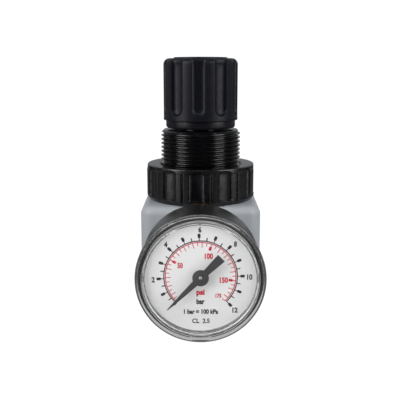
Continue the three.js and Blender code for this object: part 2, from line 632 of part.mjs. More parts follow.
function frontPlate() {
  const hole = (x) => rod(SCREW_HOLE_R, 48, 50, 12).translate([x, PILLAR_Y, 0]);
  return cut(movementPlate(PLATE_SPANS[1]), hole(PILLAR_X), hole(-PILLAR_X));
}

function pillar(x) {
  const [back, front] = [PLATE_SPANS[0][1] + GAP, PLATE_SPANS[1][0] - GAP];
  return cut(rod(1.3, back, front, 12), rod(SCREW_HOLE_R, front - 1.8, front + 1, 12))
    .translate([x, PILLAR_Y, 0]);
}

function movementScrew(x) {
  const face = PLATE_SPANS[1][1] + GAP;
  const [tip, shankR, headR, head] = [46.6, 0.6, 1.6, 0.6];
  return turned([[0, tip], [shankR, tip], [shankR, face], [headR, face],
    [headR, face + head], [0, face + head]], 12).translate([x, PILLAR_Y, 0]);
}

const ARBOR_BACK = PLATE_SPANS[0][0] - 0.2;
const TOOTH_HALF = 0.13;

// The pointer's arbor with its eight-leaf pinion.
function pinionArbor() {
  const [back, front] = PINION_SPAN;
  const leaf = box(-TOOTH_HALF, TOOTH_HALF, 0.4, 1, back, front);
  return joined(rod(ARBOR_R, ARBOR_BACK, POINTER_SPAN[1] + 0.5, 8), rod(0.75, back, front, 8),
    ...spread(leaf, 8));
}

// The toothed quadrant, at zero pressure; its tail carries the link's pin.
function sectorGear() {
  const [back, front] = SECTOR_SPAN;
  const restAngle = -SECTOR_SWING / 2;
  const halfArc = 16;
  const segments = 10;
  const rim = Array.from({ length: segments + 1 }, (_, i) => {
    const a = degrees(90 - halfArc + 2 * halfArc * i / segments);
    return [SECTOR_R * Math.cos(a), SECTOR_R * Math.sin(a)];
  });
  const quadrant = extruded(outline([[0, 0], ...rim]), back, front);
  const tail = box(-0.7, 0.7, -TAIL_LENGTH, 0, back, front);
  const eye = rod(1.1, back, front, 12).translate([0, -TAIL_LENGTH, 0]);
  const hub = rod(1.6, back - 0.6, front + 0.4, 12);
  const toothPitch = SECTOR_SWING / 8;
  const toothGap = box(-TOOTH_HALF, TOOTH_HALF, SECTOR_R - 0.3, SECTOR_R + 1, 45, 47);
  const gaps = Array.from({ length: 9 }, (_, i) => toothGap.rotate([0, 0, (i - 4) * toothPitch]));
  const eyeHole = rod(LINK_PIN_R + 0.2, 45, 48, 12).translate([0, -TAIL_LENGTH, 0]);
  return cut(joined(quadrant, tail, eye, hub), rod(ARBOR_R + 0.2, 44, 48, 12), eyeHole, ...gaps)
    .rotate([0, 0, restAngle]).translate([0, SECTOR_PIVOT_Y, 0]);
}

const tailAngle = degrees(SECTOR_SWING / 2);
const linkPin = [-TAIL_LENGTH * Math.sin(tailAngle),
  SECTOR_PIVOT_Y - TAIL_LENGTH * Math.cos(tailAngle)];
const tubeTip = [TUBE_R * Math.SQRT1_2, -TUBE_R * Math.SQRT1_2];

// The link reaches the tube's tip but isn't pinned to it: that pivot is left open.
function link() {
  const [dx, dy] = [tubeTip[0] - linkPin[0], tubeTip[1] - linkPin[1]];
  const length = Math.hypot(dx, dy);
  const [back, front] = LINK_SPAN;
  const bar = box(0, length, -0.6, 0.6, back, front);
  const nearEye = rod(1, back, front, 16);
  const farEye = nearEye.translate([length, 0, 0]);
  const farHole = rod(0.45, back - 1, front + 1, 12).translate([length, 0, 0]);
  const pin = rod(LINK_PIN_R, SECTOR_SPAN[0] - GAP, back + 0.3, 12);
  return cut(joined(bar, farEye, nearEye, pin), farHole)
    .rotate([0, 0, Math.atan2(dy, dx) * 180 / Math.PI]).translate([...linkPin, 0]);
}

const bourdonTube = extruded(arcBand(TUBE_R - 0.8, TUBE_R + 0.8, -38, 225, 30), ...TUBE_SPAN);
const bourdonTip = extruded(arcBand(TUBE_R - 1.4, TUBE_R + 1.4, -50, -39.3, 2),
  TUBE_SPAN[0] + 0.2, TUBE_SPAN[1] - 0.2);

// A flat spiral between the arbor and a stud, wound in an even pitch.
function hairspring() {
  const turns = 3;
  const steps = 11 * turns;
  const [innerR, outerR, strip] = [1.1, 3.7, 0.12];
  const at = (i, offset) => {
    const a = 2 * Math.PI * turns * i / steps;
    const r = THREE.MathUtils.lerp(innerR, outerR, i / steps) + offset;
    return [r * Math.cos(a), r * Math.sin(a)];
  };
  const count = Array.from({ length: steps + 1 }, (_, i) => i);
  const outside = count.map((i) => at(i, strip));
  const inside = count.map((i) => at(i, 0)).reverse();
  return extruded(outline([...outside, ...inside]), 44.1, 44.7);
}

add(gauge, 'movement_back_plate', 'brass', movementPlate(PLATE_SPANS[0]));
add(gauge, 'movement_front_plate', 'brass', frontPlate());
add(gauge, 'movement_pillar_left', 'brass', pillar(-PILLAR_X));
add(gauge, 'movement_pillar_right', 'brass', pillar(PILLAR_X));
add(gauge, 'movement_screw_left', 'steel', movementScrew(-PILLAR_X));
add(gauge, 'movement_screw_right', 'steel', movementScrew(PILLAR_X));
add(gauge, 'pinion_arbor', 'steel', pinionArbor());
add(gauge, 'sector_gear', 'brass', sectorGear());
add(gauge, 'sector_arbor', 'steel',
  rod(ARBOR_R, ARBOR_BACK, PLATE_SPANS[1][1] + GAP, 12).translate([0, SECTOR_PIVOT_Y, 0]));
add(gauge, 'link', 'brass', link());
add(gauge, 'bourdon_tube', 'phosphorBronze', bourdonTube);
add(gauge, 'bourdon_tip', 'brass', bourdonTip);
add(gauge, 'hairspring', 'phosphorBronze', hairspring());

export default regulator;
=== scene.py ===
"""Looks of a miniature air pressure regulator with a 40 mm gauge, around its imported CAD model.

Lengths are in millimetres until a mesh is made. The spindle is the Z axis, the gauge faces -Y,
and a gauge piece is drawn in the gauge's own frame: x right, y up, z towards the viewer.
"""

import math

import bmesh
import bpy
import numpy as np
from mathutils import Matrix, Vector


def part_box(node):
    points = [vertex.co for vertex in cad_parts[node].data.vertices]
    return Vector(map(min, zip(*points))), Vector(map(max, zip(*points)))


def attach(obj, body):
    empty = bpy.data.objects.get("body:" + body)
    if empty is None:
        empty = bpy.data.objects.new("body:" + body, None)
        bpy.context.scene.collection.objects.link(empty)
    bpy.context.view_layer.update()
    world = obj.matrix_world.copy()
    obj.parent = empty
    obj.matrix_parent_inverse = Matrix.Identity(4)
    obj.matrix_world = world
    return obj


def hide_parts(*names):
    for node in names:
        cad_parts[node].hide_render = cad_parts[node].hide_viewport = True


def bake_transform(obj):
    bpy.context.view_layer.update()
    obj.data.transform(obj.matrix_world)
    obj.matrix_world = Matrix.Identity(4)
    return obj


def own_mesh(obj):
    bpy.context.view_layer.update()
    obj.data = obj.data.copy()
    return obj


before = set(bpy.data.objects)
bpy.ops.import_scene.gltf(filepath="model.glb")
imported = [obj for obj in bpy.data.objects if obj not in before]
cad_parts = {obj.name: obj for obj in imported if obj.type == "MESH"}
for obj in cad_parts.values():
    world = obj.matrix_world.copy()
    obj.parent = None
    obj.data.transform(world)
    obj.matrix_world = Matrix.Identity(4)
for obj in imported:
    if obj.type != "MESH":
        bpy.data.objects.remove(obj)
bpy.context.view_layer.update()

MM = 0.001
GAUGE = Matrix(((1, 0, 0), (0, 0, -1), (0, 1, 0))).to_4x4()
TURN = 2 * math.pi
GAP = 0.3                                              # clearance between neighbours
EDGE = 0.05                                            # width of the small bevels

# ------------------------------------------------------------------ sizes, from the frame


def spindle_span(node):
    """(radius, bottom, top) of a CAD node that is turned about the spindle."""
    low, high = (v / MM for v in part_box(node))
    return max(high.x, high.y), low.z, high.z


def gauge_span(node):
    """(radius, back, front) of a CAD node that is turned about the gauge's axis."""
    low, high = (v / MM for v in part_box(node))
    return max(high.x, high.z), -high.y, -low.y


KNOB_R, KNOB_BOTTOM, KNOB_TOP = spindle_span("knob")
CAP_R, CAP_BOTTOM, CAP_TOP = spindle_span("knob_cap")
COLLAR_R, COLLAR_BOTTOM, COLLAR_TOOTH_TOP = spindle_span("lock_collar")
FLANGE_R, BONNET_BOTTOM, BOSS_TOP = spindle_span("bonnet")
RING_R, RING_BOTTOM, RING_TOP = spindle_span("bonnet_ring")
PLUG_R, PLUG_BOTTOM, PLUG_TOP = spindle_span("bottom_plug")
CASE_R, CASE_BACK, CASE_FRONT = gauge_span("gauge_case")
MOUTH_R, CASE_SHOULDER = CASE_R - 0.2, CASE_FRONT - 0.6
WINDOW_R, _, WINDOW_FRONT = gauge_span("gauge_window")
DIAL_R, DIAL_BACK, DIAL_FACE = gauge_span("dial")
SKIRT_BACK = DIAL_FACE + GAP
HEAD_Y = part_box("back_port_plug")[1].y / MM
HALF_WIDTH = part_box("body")[1].x / MM
HALF_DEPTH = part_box("body")[1].y / MM
BODY_BOTTOM, NECK_TOP = (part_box("body")[i].z / MM for i in (0, 1))
BODY_TOP = NECK_TOP - 4.8
BLOCK_BOTTOM = BODY_BOTTOM + 3

COLLAR_TOP = COLLAR_TOOTH_TOP - 1.2
THREAD_R, THREAD_PITCH, THREAD_DEPTH = 15, 1.5, 0.92   # M30 x 1.5
THREAD_TOP = COLLAR_BOTTOM - 0.6
KNOB_FLUTES, KNOB_PHASE = 10, math.radians(-3)
RING_FLUTES, RING_PHASE = 12, math.radians(-4)
LOCK_TEETH = 12
ZERO_ANGLE = math.radians(225)                         # the pointer at rest, clockwise from the top
SCALE_START = math.radians(221.2)                      # the printed scale, a little longer
SCALE_TURN = math.radians(273.6)
BAR_TURN = SCALE_TURN / 12
BAR_PER_PSI = 0.0689476
CASE_SCREW_X = 8.2

# ------------------------------------------------------------------ mesh helpers


def unit(v):
    return v / np.linalg.norm(v)


def rounded(corners, steps=4):
    """An outline of (x, y) or (x, y, radius) corners, with each radius turned into an arc."""
    points = []
    for i, corner in enumerate(corners):
        here = np.array(corner[:2], float)
        radius = corner[2] if len(corner) > 2 else 0
        if not radius:
            points.append(tuple(here))
            continue
        before = unit(np.array(corners[i - 1][:2]) - here)
        after = unit(np.array(corners[(i + 1) % len(corners)][:2]) - here)
        half = math.acos(before @ after) / 2
        centre = here + unit(before + after) * radius / math.sin(half)
        start = here + before * radius / math.tan(half) - centre
        end = here + after * radius / math.tan(half) - centre
        turn = math.pi - 2 * half
        for k in range(steps + 1):
            a = turn * k / steps
            arm = (math.sin(turn - a) * start + math.sin(a) * end) / math.sin(turn)
            points.append(tuple(centre + arm))
    return points


def smooth(obj, sharp=35):
    """Shades a mesh smooth, apart from its sharp edges."""
    mesh = obj.data
    mesh.polygons.foreach_set("use_smooth", [True] * len(mesh.polygons))
    mesh.set_sharp_from_angle(angle=math.radians(sharp))
    return obj


def placed(name, data):
    """A new object in the scene that shows this mesh, curve, light or camera."""
    obj = bpy.data.objects.new(name, data)
    bpy.context.scene.collection.objects.link(obj)
    return obj


def new_object(name, vertices, faces, matrix=Matrix.Identity(4)):
    """A mesh object from millimetre vertices, with doubled points merged and normals out."""
    mesh = bpy.data.meshes.new(name)
    mesh.from_pydata([tuple(v) for v in vertices], [], faces)
    bm = bmesh.new()
    bm.from_mesh(mesh)
    bmesh.ops.remove_doubles(bm, verts=bm.verts, dist=1e-4)
    bmesh.ops.dissolve_degenerate(bm, edges=bm.edges, dist=1e-5)
    bmesh.ops.recalc_face_normals(bm, faces=bm.faces)
    bmesh.ops.transform(bm, matrix=Matrix.Scale(MM, 4) @ matrix, verts=bm.verts)
    bm.to_mesh(mesh)
    bm.free()
    return smooth(placed(name, mesh))


def skin(name, radii, heights, matrix=Matrix.Identity(4)):
    """Rows of points round an axis, each row joined to the next and the last to the first.

    The angle runs from the front (-y) towards +x; a row of radius 0 closes on the axis.
    """
    radii = np.asarray(radii, float)
    rows, facets = radii.shape
    heights = np.broadcast_to(np.asarray(heights, float).reshape(rows, -1), radii.shape)
    angle = np.arange(facets) * TURN / facets
    points = np.stack((radii * np.sin(angle), -radii * np.cos(angle), heights), -1)
    on_axis = not radii[0].any() and not radii[-1].any()
    loops = rows - 1 if on_axis else rows
    index = np.arange(rows * facets).reshape(rows, facets)
    faces = []
    for i in range(loops):
        a, b = index[i], index[(i + 1) % rows]
        faces += zip(a.tolist(), np.roll(a, -1).tolist(), np.roll(b, -1).tolist(), b.tolist())
    return new_object(name, points.reshape(-1, 3), faces, matrix)


def turned(name, profile, facets=96, shape=None, matrix=Matrix.Identity(4)):
    """Turns a closed profile of (radius, height) points; shape may change a point's radius."""
    r, h = np.array(profile, float).T
    angle = np.arange(facets) * TURN / facets
    radii = np.repeat(r[:, None], facets, 1)
    if shape:
        radii = shape(radii, h[:, None], angle[None, :])
    return skin(name, radii, h, matrix)


def divided(start, end, step):
    """Points from start up to end, without end, no further apart than step."""
    count = max(1, math.ceil(math.dist(start, end) / step))
    return [tuple(np.array(start) + (np.array(end) - np.array(start)) * i / count)
            for i in range(count)]


def off_centre(angle, count, phase):
    """The angle to the nearest of count places spread round the axis."""
    period = TURN / count
    return (angle - phase + period / 2) % period - period / 2


def hollow(distance, half_width, power=2.4):
    """A round-bottomed channel's depth, 1 in the middle and 0 from half_width out."""
    share = np.clip(np.abs(distance) / half_width, 0, 1)
    return (1 - share**power) ** (1 / power)


def prisms(outlines, z0, z1):
    """The vertices and faces of outlines of (x, y) points, each drawn up from z0 to z1."""
    vertices, faces = [], []
    for outline in outlines:
        n, first = len(outline), len(vertices)
        vertices += [(x, y, z) for z in (z0, z1) for x, y in outline]
        low = range(first, first + n)
        faces += [tuple(low), tuple(i + n for i in low)]
        faces += [(i, first + (k + 1) % n, first + (k + 1) % n + n, i + n)
                  for k, i in enumerate(low)]
    return vertices, faces


def extruded(name, outlines, z0, z1, matrix=Matrix.Identity(4)):
    """Flat shapes given as outlines of (x, y) points, from height z0 to z1, as one mesh."""
    return new_object(name, *prisms(outlines, z0, z1), matrix)


def cylinder(r, h0, h1, matrix=Matrix.Identity(4), facets=48, mouth=0.0):
    """A cutter; mouth widens its far end by that much, at 45 degrees."""
    profile = [(0, h0), (r, h0), (r, h1 - mouth), (r + mouth, h1), (0, h1)]
    return turned("cutter", profile if mouth else profile[:3] + profile[4:], facets,
                  matrix=matrix)


def combined(obj, others, operation):
    """Cuts the others away from obj, or joins them to it."""
    for other in others:
        modifier = obj.modifiers.new("cut", "BOOLEAN")
        modifier.operation, modifier.solver, modifier.object = operation, "MANIFOLD", other
    bpy.context.view_layer.update()
    made = obj.evaluated_get(bpy.context.evaluated_depsgraph_get())
    mesh = bpy.data.meshes.new_from_object(made)
    obj.modifiers.clear()
    obj.data = mesh
    for other in others:
        bpy.data.objects.remove(other)
    return smooth(obj, 30)


def eased(obj):
    """Breaks an object's sharp edges with a small bevel."""
    bevel = obj.modifiers.new("edge", "BEVEL")
    bevel.width, bevel.segments, bevel.limit_method = EDGE * MM, 2, "ANGLE"
    return obj


def bar(x0, x1, y0, y1, z0, z1, angle=0.0, matrix=Matrix.Identity(4)):
    """A plain block for cutting or joining, turned about the axis by an angle."""
    outline = [(x0, y0), (x1, y0), (x1, y1), (x0, y1)]
    return extruded("block", [outline], z0, z1, matrix @ Matrix.Rotation(angle, 4, "Z"))


def hexagon(across_flats):
    """A shape for turned(): rows at exactly that radius take a hexagon's outline."""
    def shape(r, h, angle):
        flat = across_flats / 2 / np.cos((angle + math.pi / 6) % (math.pi / 3) - math.pi / 6)
        return np.where(np.isclose(r, across_flats / 2), flat, r)
    return shape


def spring(name, mean_r, wire_r, bottom, top, turns, steps=40, sides=10):
    """A round-wire coil whose end turns lie closer together."""
    count = int(turns * steps)
    t = np.linspace(0, 1, count + 1)
    ease = np.clip((t - 0.04) / 0.92, 0, 1)
    rise = 0.85 * t + 0.15 * ease * ease * (3 - 2 * ease)
    a = TURN * turns * t
    height = bottom + wire_r + (top - bottom - 2 * wire_r) * rise
    around = np.arange(sides) * TURN / sides
    r = mean_r + wire_r * np.cos(around)[None, :]
    x, y = r * np.cos(a)[:, None], r * np.sin(a)[:, None]
    z = height[:, None] + wire_r * np.sin(around)[None, :]
    points = np.stack((x, y, z), -1).reshape(-1, 3)
    faces = [(i * sides + k, i * sides + (k + 1) % sides,
              (i + 1) * sides + (k + 1) % sides, (i + 1) * sides + k)
             for i in range(count) for k in range(sides)]
    faces += [tuple(range(sides)), tuple(range(count * sides, (count + 1) * sides))]
    return new_object(name, points, faces)


# ------------------------------------------------------------------ materials


class Graph:
    """Adds nodes to a tree and links them by socket name."""

    def __init__(self, tree):
        self.tree = tree

    def add(self, kind, inputs=None, **settings):
        node = self.tree.nodes.new(kind)
        for key, value in settings.items():
            setattr(node, key, value)
        for key, value in (inputs or {}).items():
            if isinstance(value, bpy.types.NodeSocket):
                self.tree.links.new(value, node.inputs[key])
            else:
                node.inputs[key].default_value = value
        return node


class Nodes(Graph):
    """A new material's nodes, with what the looks below share."""

    def __init__(self, name):
        self.material = bpy.data.materials.new(name)
        self.material.use_nodes = True
        super().__init__(self.material.node_tree)
        self.shader = self.tree.nodes["Principled BSDF"]
        self.output = self.tree.nodes["Material Output"]
        self.place = self.add("ShaderNodeTexCoord").outputs["Object"]

    def noise(self, scale, detail=3, roughness=0.5, stretch=(1, 1, 1)):
        """Noise in the object's own space; scale is in features per metre."""
        mapping = self.add("ShaderNodeMapping", {"Vector": self.place, "Scale": stretch})
        return self.add("ShaderNodeTexNoise", {
            "Vector": mapping.outputs["Vector"], "Scale": scale, "Detail": detail,
            "Roughness": roughness}).outputs["Fac"]

    def between(self, factor, low, high, start=0.3, end=0.7):
        """A value from low to high as factor goes from start to end."""
        return self.add("ShaderNodeMapRange", {
            "Value": factor, "From Min": start, "From Max": end,
            "To Min": low, "To Max": high}).outputs["Result"]

    def mixed(self, factor, first, second):
        """A colour between two colours or colour sockets."""
        node = self.add("ShaderNodeMix", data_type="RGBA")
        self.tree.links.new(factor, node.inputs["Factor"])
        for slot, value in ((6, first), (7, second)):
            if isinstance(value, bpy.types.NodeSocket):
                self.tree.links.new(value, node.inputs[slot])
            else:
                node.inputs[slot].default_value = (*value, 1)
        return node.outputs[2]

    def bump(self, height, distance, strength=1.0, normal=None):
        """distance is in millimetres."""
        inputs = {"Height": height, "Distance": distance * MM, "Strength": strength}
        if normal:
            inputs["Normal"] = normal
        return self.add("ShaderNodeBump", inputs).outputs["Normal"]

    def drive(self, name, value):
        """Sets one of the shader's sockets, to a constant or from another socket."""
        socket = self.shader.inputs[name]
        if isinstance(value, bpy.types.NodeSocket):
            self.tree.links.new(value, socket)
        else:
            socket.default_value = value


def shade(colour, factor):
    return tuple(min(1, c * factor) for c in colour)


def plastic(name, colour, roughness, grain=0.012, grain_scale=2600, edge=0.0, gloss=0.3):
    """Moulded plastic: fine spark-eroded grain, faint flow marks, and paler edges, partly rubbed
    wear and partly a painted edge highlight.
    """
    n = Nodes(name)
    flow = n.noise(90, 4, 0.6)
    base = n.mixed(flow, shade(colour, 0.86), shade(colour, 1.16))
    if edge:
        # paler sharp edges: partly rubbed wear, partly a painted highlight along the edges
        wear_and_edge_highlight = n.between(n.add("ShaderNodeNewGeometry").outputs["Pointiness"], 0, edge, 0.51, 0.58)
        base = n.mixed(wear_and_edge_highlight, base, shade(colour, 3.5))
    n.drive("Base Color", base)
    n.drive("Roughness", n.between(n.noise(700, 3), roughness - 0.05, roughness + 0.07))
    n.drive("Specular IOR Level", gloss)
    n.drive("Normal", n.bump(n.noise(grain_scale, 2, 0.6), grain))
    return n.material


def painted(name, colour):
    """Powder-coated die casting: soft orange peel, a few specks, dust-dulled patches."""
    n = Nodes(name)
    patches = n.noise(45, 4, 0.55)
    base = n.mixed(patches, shade(colour, 0.955), shade(colour, 1.03))
    specks = n.between(n.noise(900, 2, 0.4), 0, 0.75, 0.755, 0.79)
    n.drive("Base Color", n.mixed(specks, base, shade(colour, 0.35)))
    n.drive("Roughness", n.between(n.noise(160, 3), 0.42, 0.56))
    peel = n.bump(n.noise(420, 3, 0.5), 0.03)
    n.drive("Normal", n.bump(n.noise(2400, 2, 0.5), 0.008, normal=peel))
    return n.material


def metal(name, colour, roughness, along="Z", marks=0.01):
    """Turned metal: fine tool marks round one axis, with faint tarnish."""
    n = Nodes(name)
    stretch = {"X": (60, 1, 1), "Y": (1, 60, 1), "Z": (1, 1, 60)}[along]
    rings = n.noise(90, 2, 0.5, stretch)
    tarnish = n.noise(130, 4, 0.6)
    n.drive("Base Color", n.mixed(tarnish, shade(colour, 0.78), shade(colour, 1.08)))
    n.drive("Metallic", 1.0)
    n.drive("Roughness", n.between(rings, roughness - 0.06, roughness + 0.1))
    n.drive("Normal", n.bump(rings, marks))
    return n.material


def rubber(name):
    n = Nodes(name)
    n.drive("Base Color", n.mixed(n.noise(300, 4), (0.010, 0.010, 0.010), (0.022, 0.022, 0.021)))
    n.drive("Roughness", n.between(n.noise(500, 3), 0.7, 0.85))
    n.drive("Normal", n.bump(n.noise(1800, 3), 0.02))
    return n.material


def ink(name, colour):
    """Screen-printed ink: slightly uneven in density."""
    n = Nodes(name)
    n.drive("Base Color", n.mixed(n.noise(1500, 2), shade(colour, 0.9), shade(colour, 1.25)))
    n.drive("Roughness", n.between(n.noise(2500, 2), 0.45, 0.6))
    return n.material


def dial_white(name):
    n = Nodes(name)
    n.drive("Base Color", n.mixed(n.noise(60, 3), (0.825, 0.822, 0.822), (0.85, 0.847, 0.847)))
    n.drive("Roughness", n.between(n.noise(900, 3), 0.5, 0.62))
    n.drive("Normal", n.bump(n.noise(3000, 2), 0.002))
    return n.material


def clear_plastic(name, rim_r):
    """Clear polycarbonate that lets the lamps through, a little cloudy beyond rim_r."""
    n = Nodes(name)
    n.drive("Base Color", (0.985, 0.987, 0.99, 1))
    flat = n.add("ShaderNodeVectorMath", {0: n.place, 1: (1, 0, 1)}, operation="MULTIPLY")
    radius = n.add("ShaderNodeVectorMath", {0: flat.outputs[0]}, operation="LENGTH")
    n.drive("Transmission Weight", n.between(radius.outputs["Value"], 1.0, 0.978,
                                             rim_r * MM, (rim_r + 0.15) * MM))
    n.drive("IOR", 1.49)
    n.drive("Roughness", n.between(n.noise(250, 3), 0.0, 0.012))
    rays = n.add("ShaderNodeLightPath").outputs["Is Shadow Ray"]
    through = n.add("ShaderNodeBsdfTransparent", {"Color": (0.985, 0.985, 0.985, 1)})
    mix = n.add("ShaderNodeMixShader", {
        0: rays, 1: n.shader.outputs[0], 2: through.outputs[0]})
    n.tree.links.new(mix.outputs[0], n.output.inputs["Surface"])
    return n.material


LOOKS = {
    "grey_paint": painted("grey_paint_look", (0.335, 0.354, 0.378)),
    "knob_plastic": plastic("knob_plastic_look", (0.0032, 0.0035, 0.0062), 0.38, 0.02,
                            edge=0.6, gloss=0.18),
    "black_plastic": plastic("black_plastic_look", (0.0034, 0.0036, 0.0060), 0.36, 0.01,
                             gloss=0.2),
    "gloss_black": plastic("gloss_black_look", (0.0008, 0.0008, 0.0012), 0.18, 0.003, 3200,
                           gloss=0.42),
    "ring_black": plastic("ring_black_look", (0.0012, 0.0012, 0.0018), 0.22, 0.004, 3000,
                          gloss=0.5),
    "case_black": plastic("case_black_look", (0.0018, 0.0018, 0.0019), 0.32, 0.0006, 1500,
                          gloss=0.5),
    "clear_window": clear_plastic("clear_window_look", 19.3),
    "dial_white": dial_white("dial_white_look"),
    "ink_black": ink("ink_black_look", (0.004, 0.004, 0.005)),
    "ink_red": ink("ink_red_look", (0.56, 0.012, 0.040)),
    "pointer_grey": plastic("pointer_grey_look", (0.040, 0.040, 0.042), 0.5, 0.004, 2000),
    "brass": metal("brass_look", (0.72, 0.50, 0.20), 0.26),
    "gauge_brass": metal("gauge_brass_look", (0.72, 0.50, 0.20), 0.26, "Y"),
    "steel": metal("steel_look", (0.56, 0.57, 0.58), 0.24),
    "spring_steel": metal("spring_steel_look", (0.42, 0.43, 0.45), 0.3, marks=0.004),
    "pin": metal("pin_look", (0.90, 0.84, 0.70), 0.36, "Y"),
    "zinc": metal("zinc_look", (0.60, 0.62, 0.64), 0.34, "Y"),
    "bronze": metal("bronze_look", (0.62, 0.33, 0.16), 0.28, "Y"),
    "rubber": rubber("rubber_look"),
}


def finish(obj, look, slot, body, *replaced):
    """Gives a finished piece its material, its body and the CAD nodes it stands for; slot is not
    used.
    """
    obj.data.materials.clear()
    obj.data.materials.append(LOOKS[look])
    if body:
        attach(obj, body)
    if replaced:
        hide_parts(*replaced)
    return obj


# ------------------------------------------------------------------ knob and its cap


def knob():
    """A skirted knob with ten finger flutes, a hexagonal drive and six ribs.

    The ribs stop short of the collar's teeth, even with the knob pushed down.
    """
    wall_r = KNOB_R - 0.1
    recess_r, recess_top = wall_r - 0.55, KNOB_BOTTOM + 1.7
    cavity = (7.4, 11.4)
    cavity_top, hub_bottom = KNOB_TOP - 3.9, KNOB_BOTTOM + 4.3
    web_bottom, web_top = KNOB_TOP - 8.2, KNOB_TOP - 6.1
    hex_flats, head_r, pocket_bottom = 7.6, 3.6, CAP_BOTTOM - 0.3
    flute_half, flute_depth, land_edge, shoulder_r = 2.7, 1.45, 0.2, 2.3
    flute_end = KNOB_BOTTOM + 1.95 + flute_half

    def fluted(r, h, angle):
        side = off_centre(angle, KNOB_FLUTES, KNOB_PHASE) * wall_r
        below = np.clip(flute_end - h, 0, None)
        channel = hollow(np.hypot(side, below), flute_half)
        depth = np.clip((flute_depth + land_edge) * channel - land_edge, 0, None)
        run_out = np.clip((KNOB_TOP - h) / shoulder_r, 0, 1) ** 0.6
        return hexagon(hex_flats)(np.where(r > wall_r - shoulder_r, r - depth * run_out, r),
                                  h, angle)

    outer = rounded([(recess_r, KNOB_BOTTOM), (KNOB_R, KNOB_BOTTOM, 0.25),
                     (wall_r, KNOB_BOTTOM + 1.5)])
    outer += divided((wall_r, KNOB_BOTTOM + 1.7), (wall_r, flute_end + 0.4), 0.16)
    outer += divided((wall_r, flute_end + 0.4), (wall_r, KNOB_TOP - shoulder_r - 0.3), 1.2)
    shoulder = [(wall_r + shoulder_r * (math.cos(a) - 1), KNOB_TOP + shoulder_r * (math.sin(a) - 1))
                for a in np.radians(np.arange(0, 91, 5))]
    inner = [(10.3, KNOB_TOP), (10.3, pocket_bottom), (head_r, pocket_bottom),
             (head_r, web_top), (1.8, web_top), (1.8, web_bottom), (hex_flats / 2, web_bottom),
             (hex_flats / 2, hub_bottom), (cavity[0], hub_bottom), (cavity[0], cavity_top),
             (cavity[1], cavity_top), (cavity[1], recess_top), (recess_r, recess_top)]
    piece = turned("knob_grip", outer + shoulder + inner, 600, fluted)
    half_pitch = math.pi / LOCK_TEETH
    ribs = [bar(-0.8, 0.8, -11.6, -7.2, hub_bottom, cavity_top + 0.3,
                half_pitch + i * TURN / 6) for i in range(6)]
    return combined(piece, ribs, "UNION")


finish(knob(), "knob_plastic", "black_plastic", "knob_shell", "knob")

cap = turned("knob_disc", rounded([
    (0, CAP_BOTTOM), (CAP_R, CAP_BOTTOM), (CAP_R, CAP_TOP - 0.12, 0.15),
    (CAP_R - 4, CAP_TOP - 0.02, 6), (0, CAP_TOP)]), 128)
finish(cap, "knob_plastic", "black_plastic", "knob_shell", "knob_cap")


# ------------------------------------------------------------------ bonnet, collar and ring


def lock_collar():
    """The fixed collar under the knob, with a rounded lower edge and locking teeth."""
    bore = 8.3
    ring = turned("collar", rounded([
        (bore, COLLAR_BOTTOM), (COLLAR_R, COLLAR_BOTTOM, 0.9), (COLLAR_R, COLLAR_TOP, 0.12),
        (bore, COLLAR_TOP)]), 128)
    teeth = [bar(-0.8, 0.8, -10.6, -9, COLLAR_TOP - 0.5, COLLAR_TOOTH_TOP, i * TURN / LOCK_TEETH)
             for i in range(LOCK_TEETH)]
    return combined(ring, teeth, "UNION")


def bonnet():
    """The threaded spring housing: a real right-hand M30 x 1.5 helix on its neck."""
    flange_top, roof = BONNET_BOTTOM + 2.6, 38.2
    bore_r, groove_r, boss_r, hole_r = 11.6, 12.8, 8, 4.3
    chamfer = 1.1

    def threaded(r, h, angle):
        turn = (h / THREAD_PITCH - angle / TURN) % 1
        flank = np.clip((np.abs(turn - 0.5) - 0.06) / 0.36, 0, 1)
        thread = THREAD_R - THREAD_DEPTH * np.sin(flank * math.pi / 2) ** 1.2
        end = THREAD_R - np.clip(h - (THREAD_TOP - chamfer), 0, None)
        outside = (r > THREAD_R - chamfer - 0.01) & (h > flange_top)
        groove = (np.abs(off_centre(angle, 2, 0)) * bore_r < 1.9) & np.isclose(r, bore_r)
        r = np.where(outside, np.minimum(thread, end), r)
        return np.where(groove, groove_r, r)

    profile = rounded([(bore_r, BONNET_BOTTOM), (FLANGE_R, BONNET_BOTTOM, 0.3),
                       (FLANGE_R, flange_top, 0.3), (THREAD_R - 1.2, flange_top)])
    profile += divided((THREAD_R, flange_top + 0.01), (THREAD_R, THREAD_TOP), THREAD_PITCH / 20)
    profile += rounded([(THREAD_R - chamfer - 0.05, THREAD_TOP), (boss_r, THREAD_TOP),
                        (boss_r, BOSS_TOP, 0.2), (hole_r, BOSS_TOP), (hole_r, roof),
                        (bore_r, roof)])
    return turned("threaded_bonnet", profile, 240, threaded)


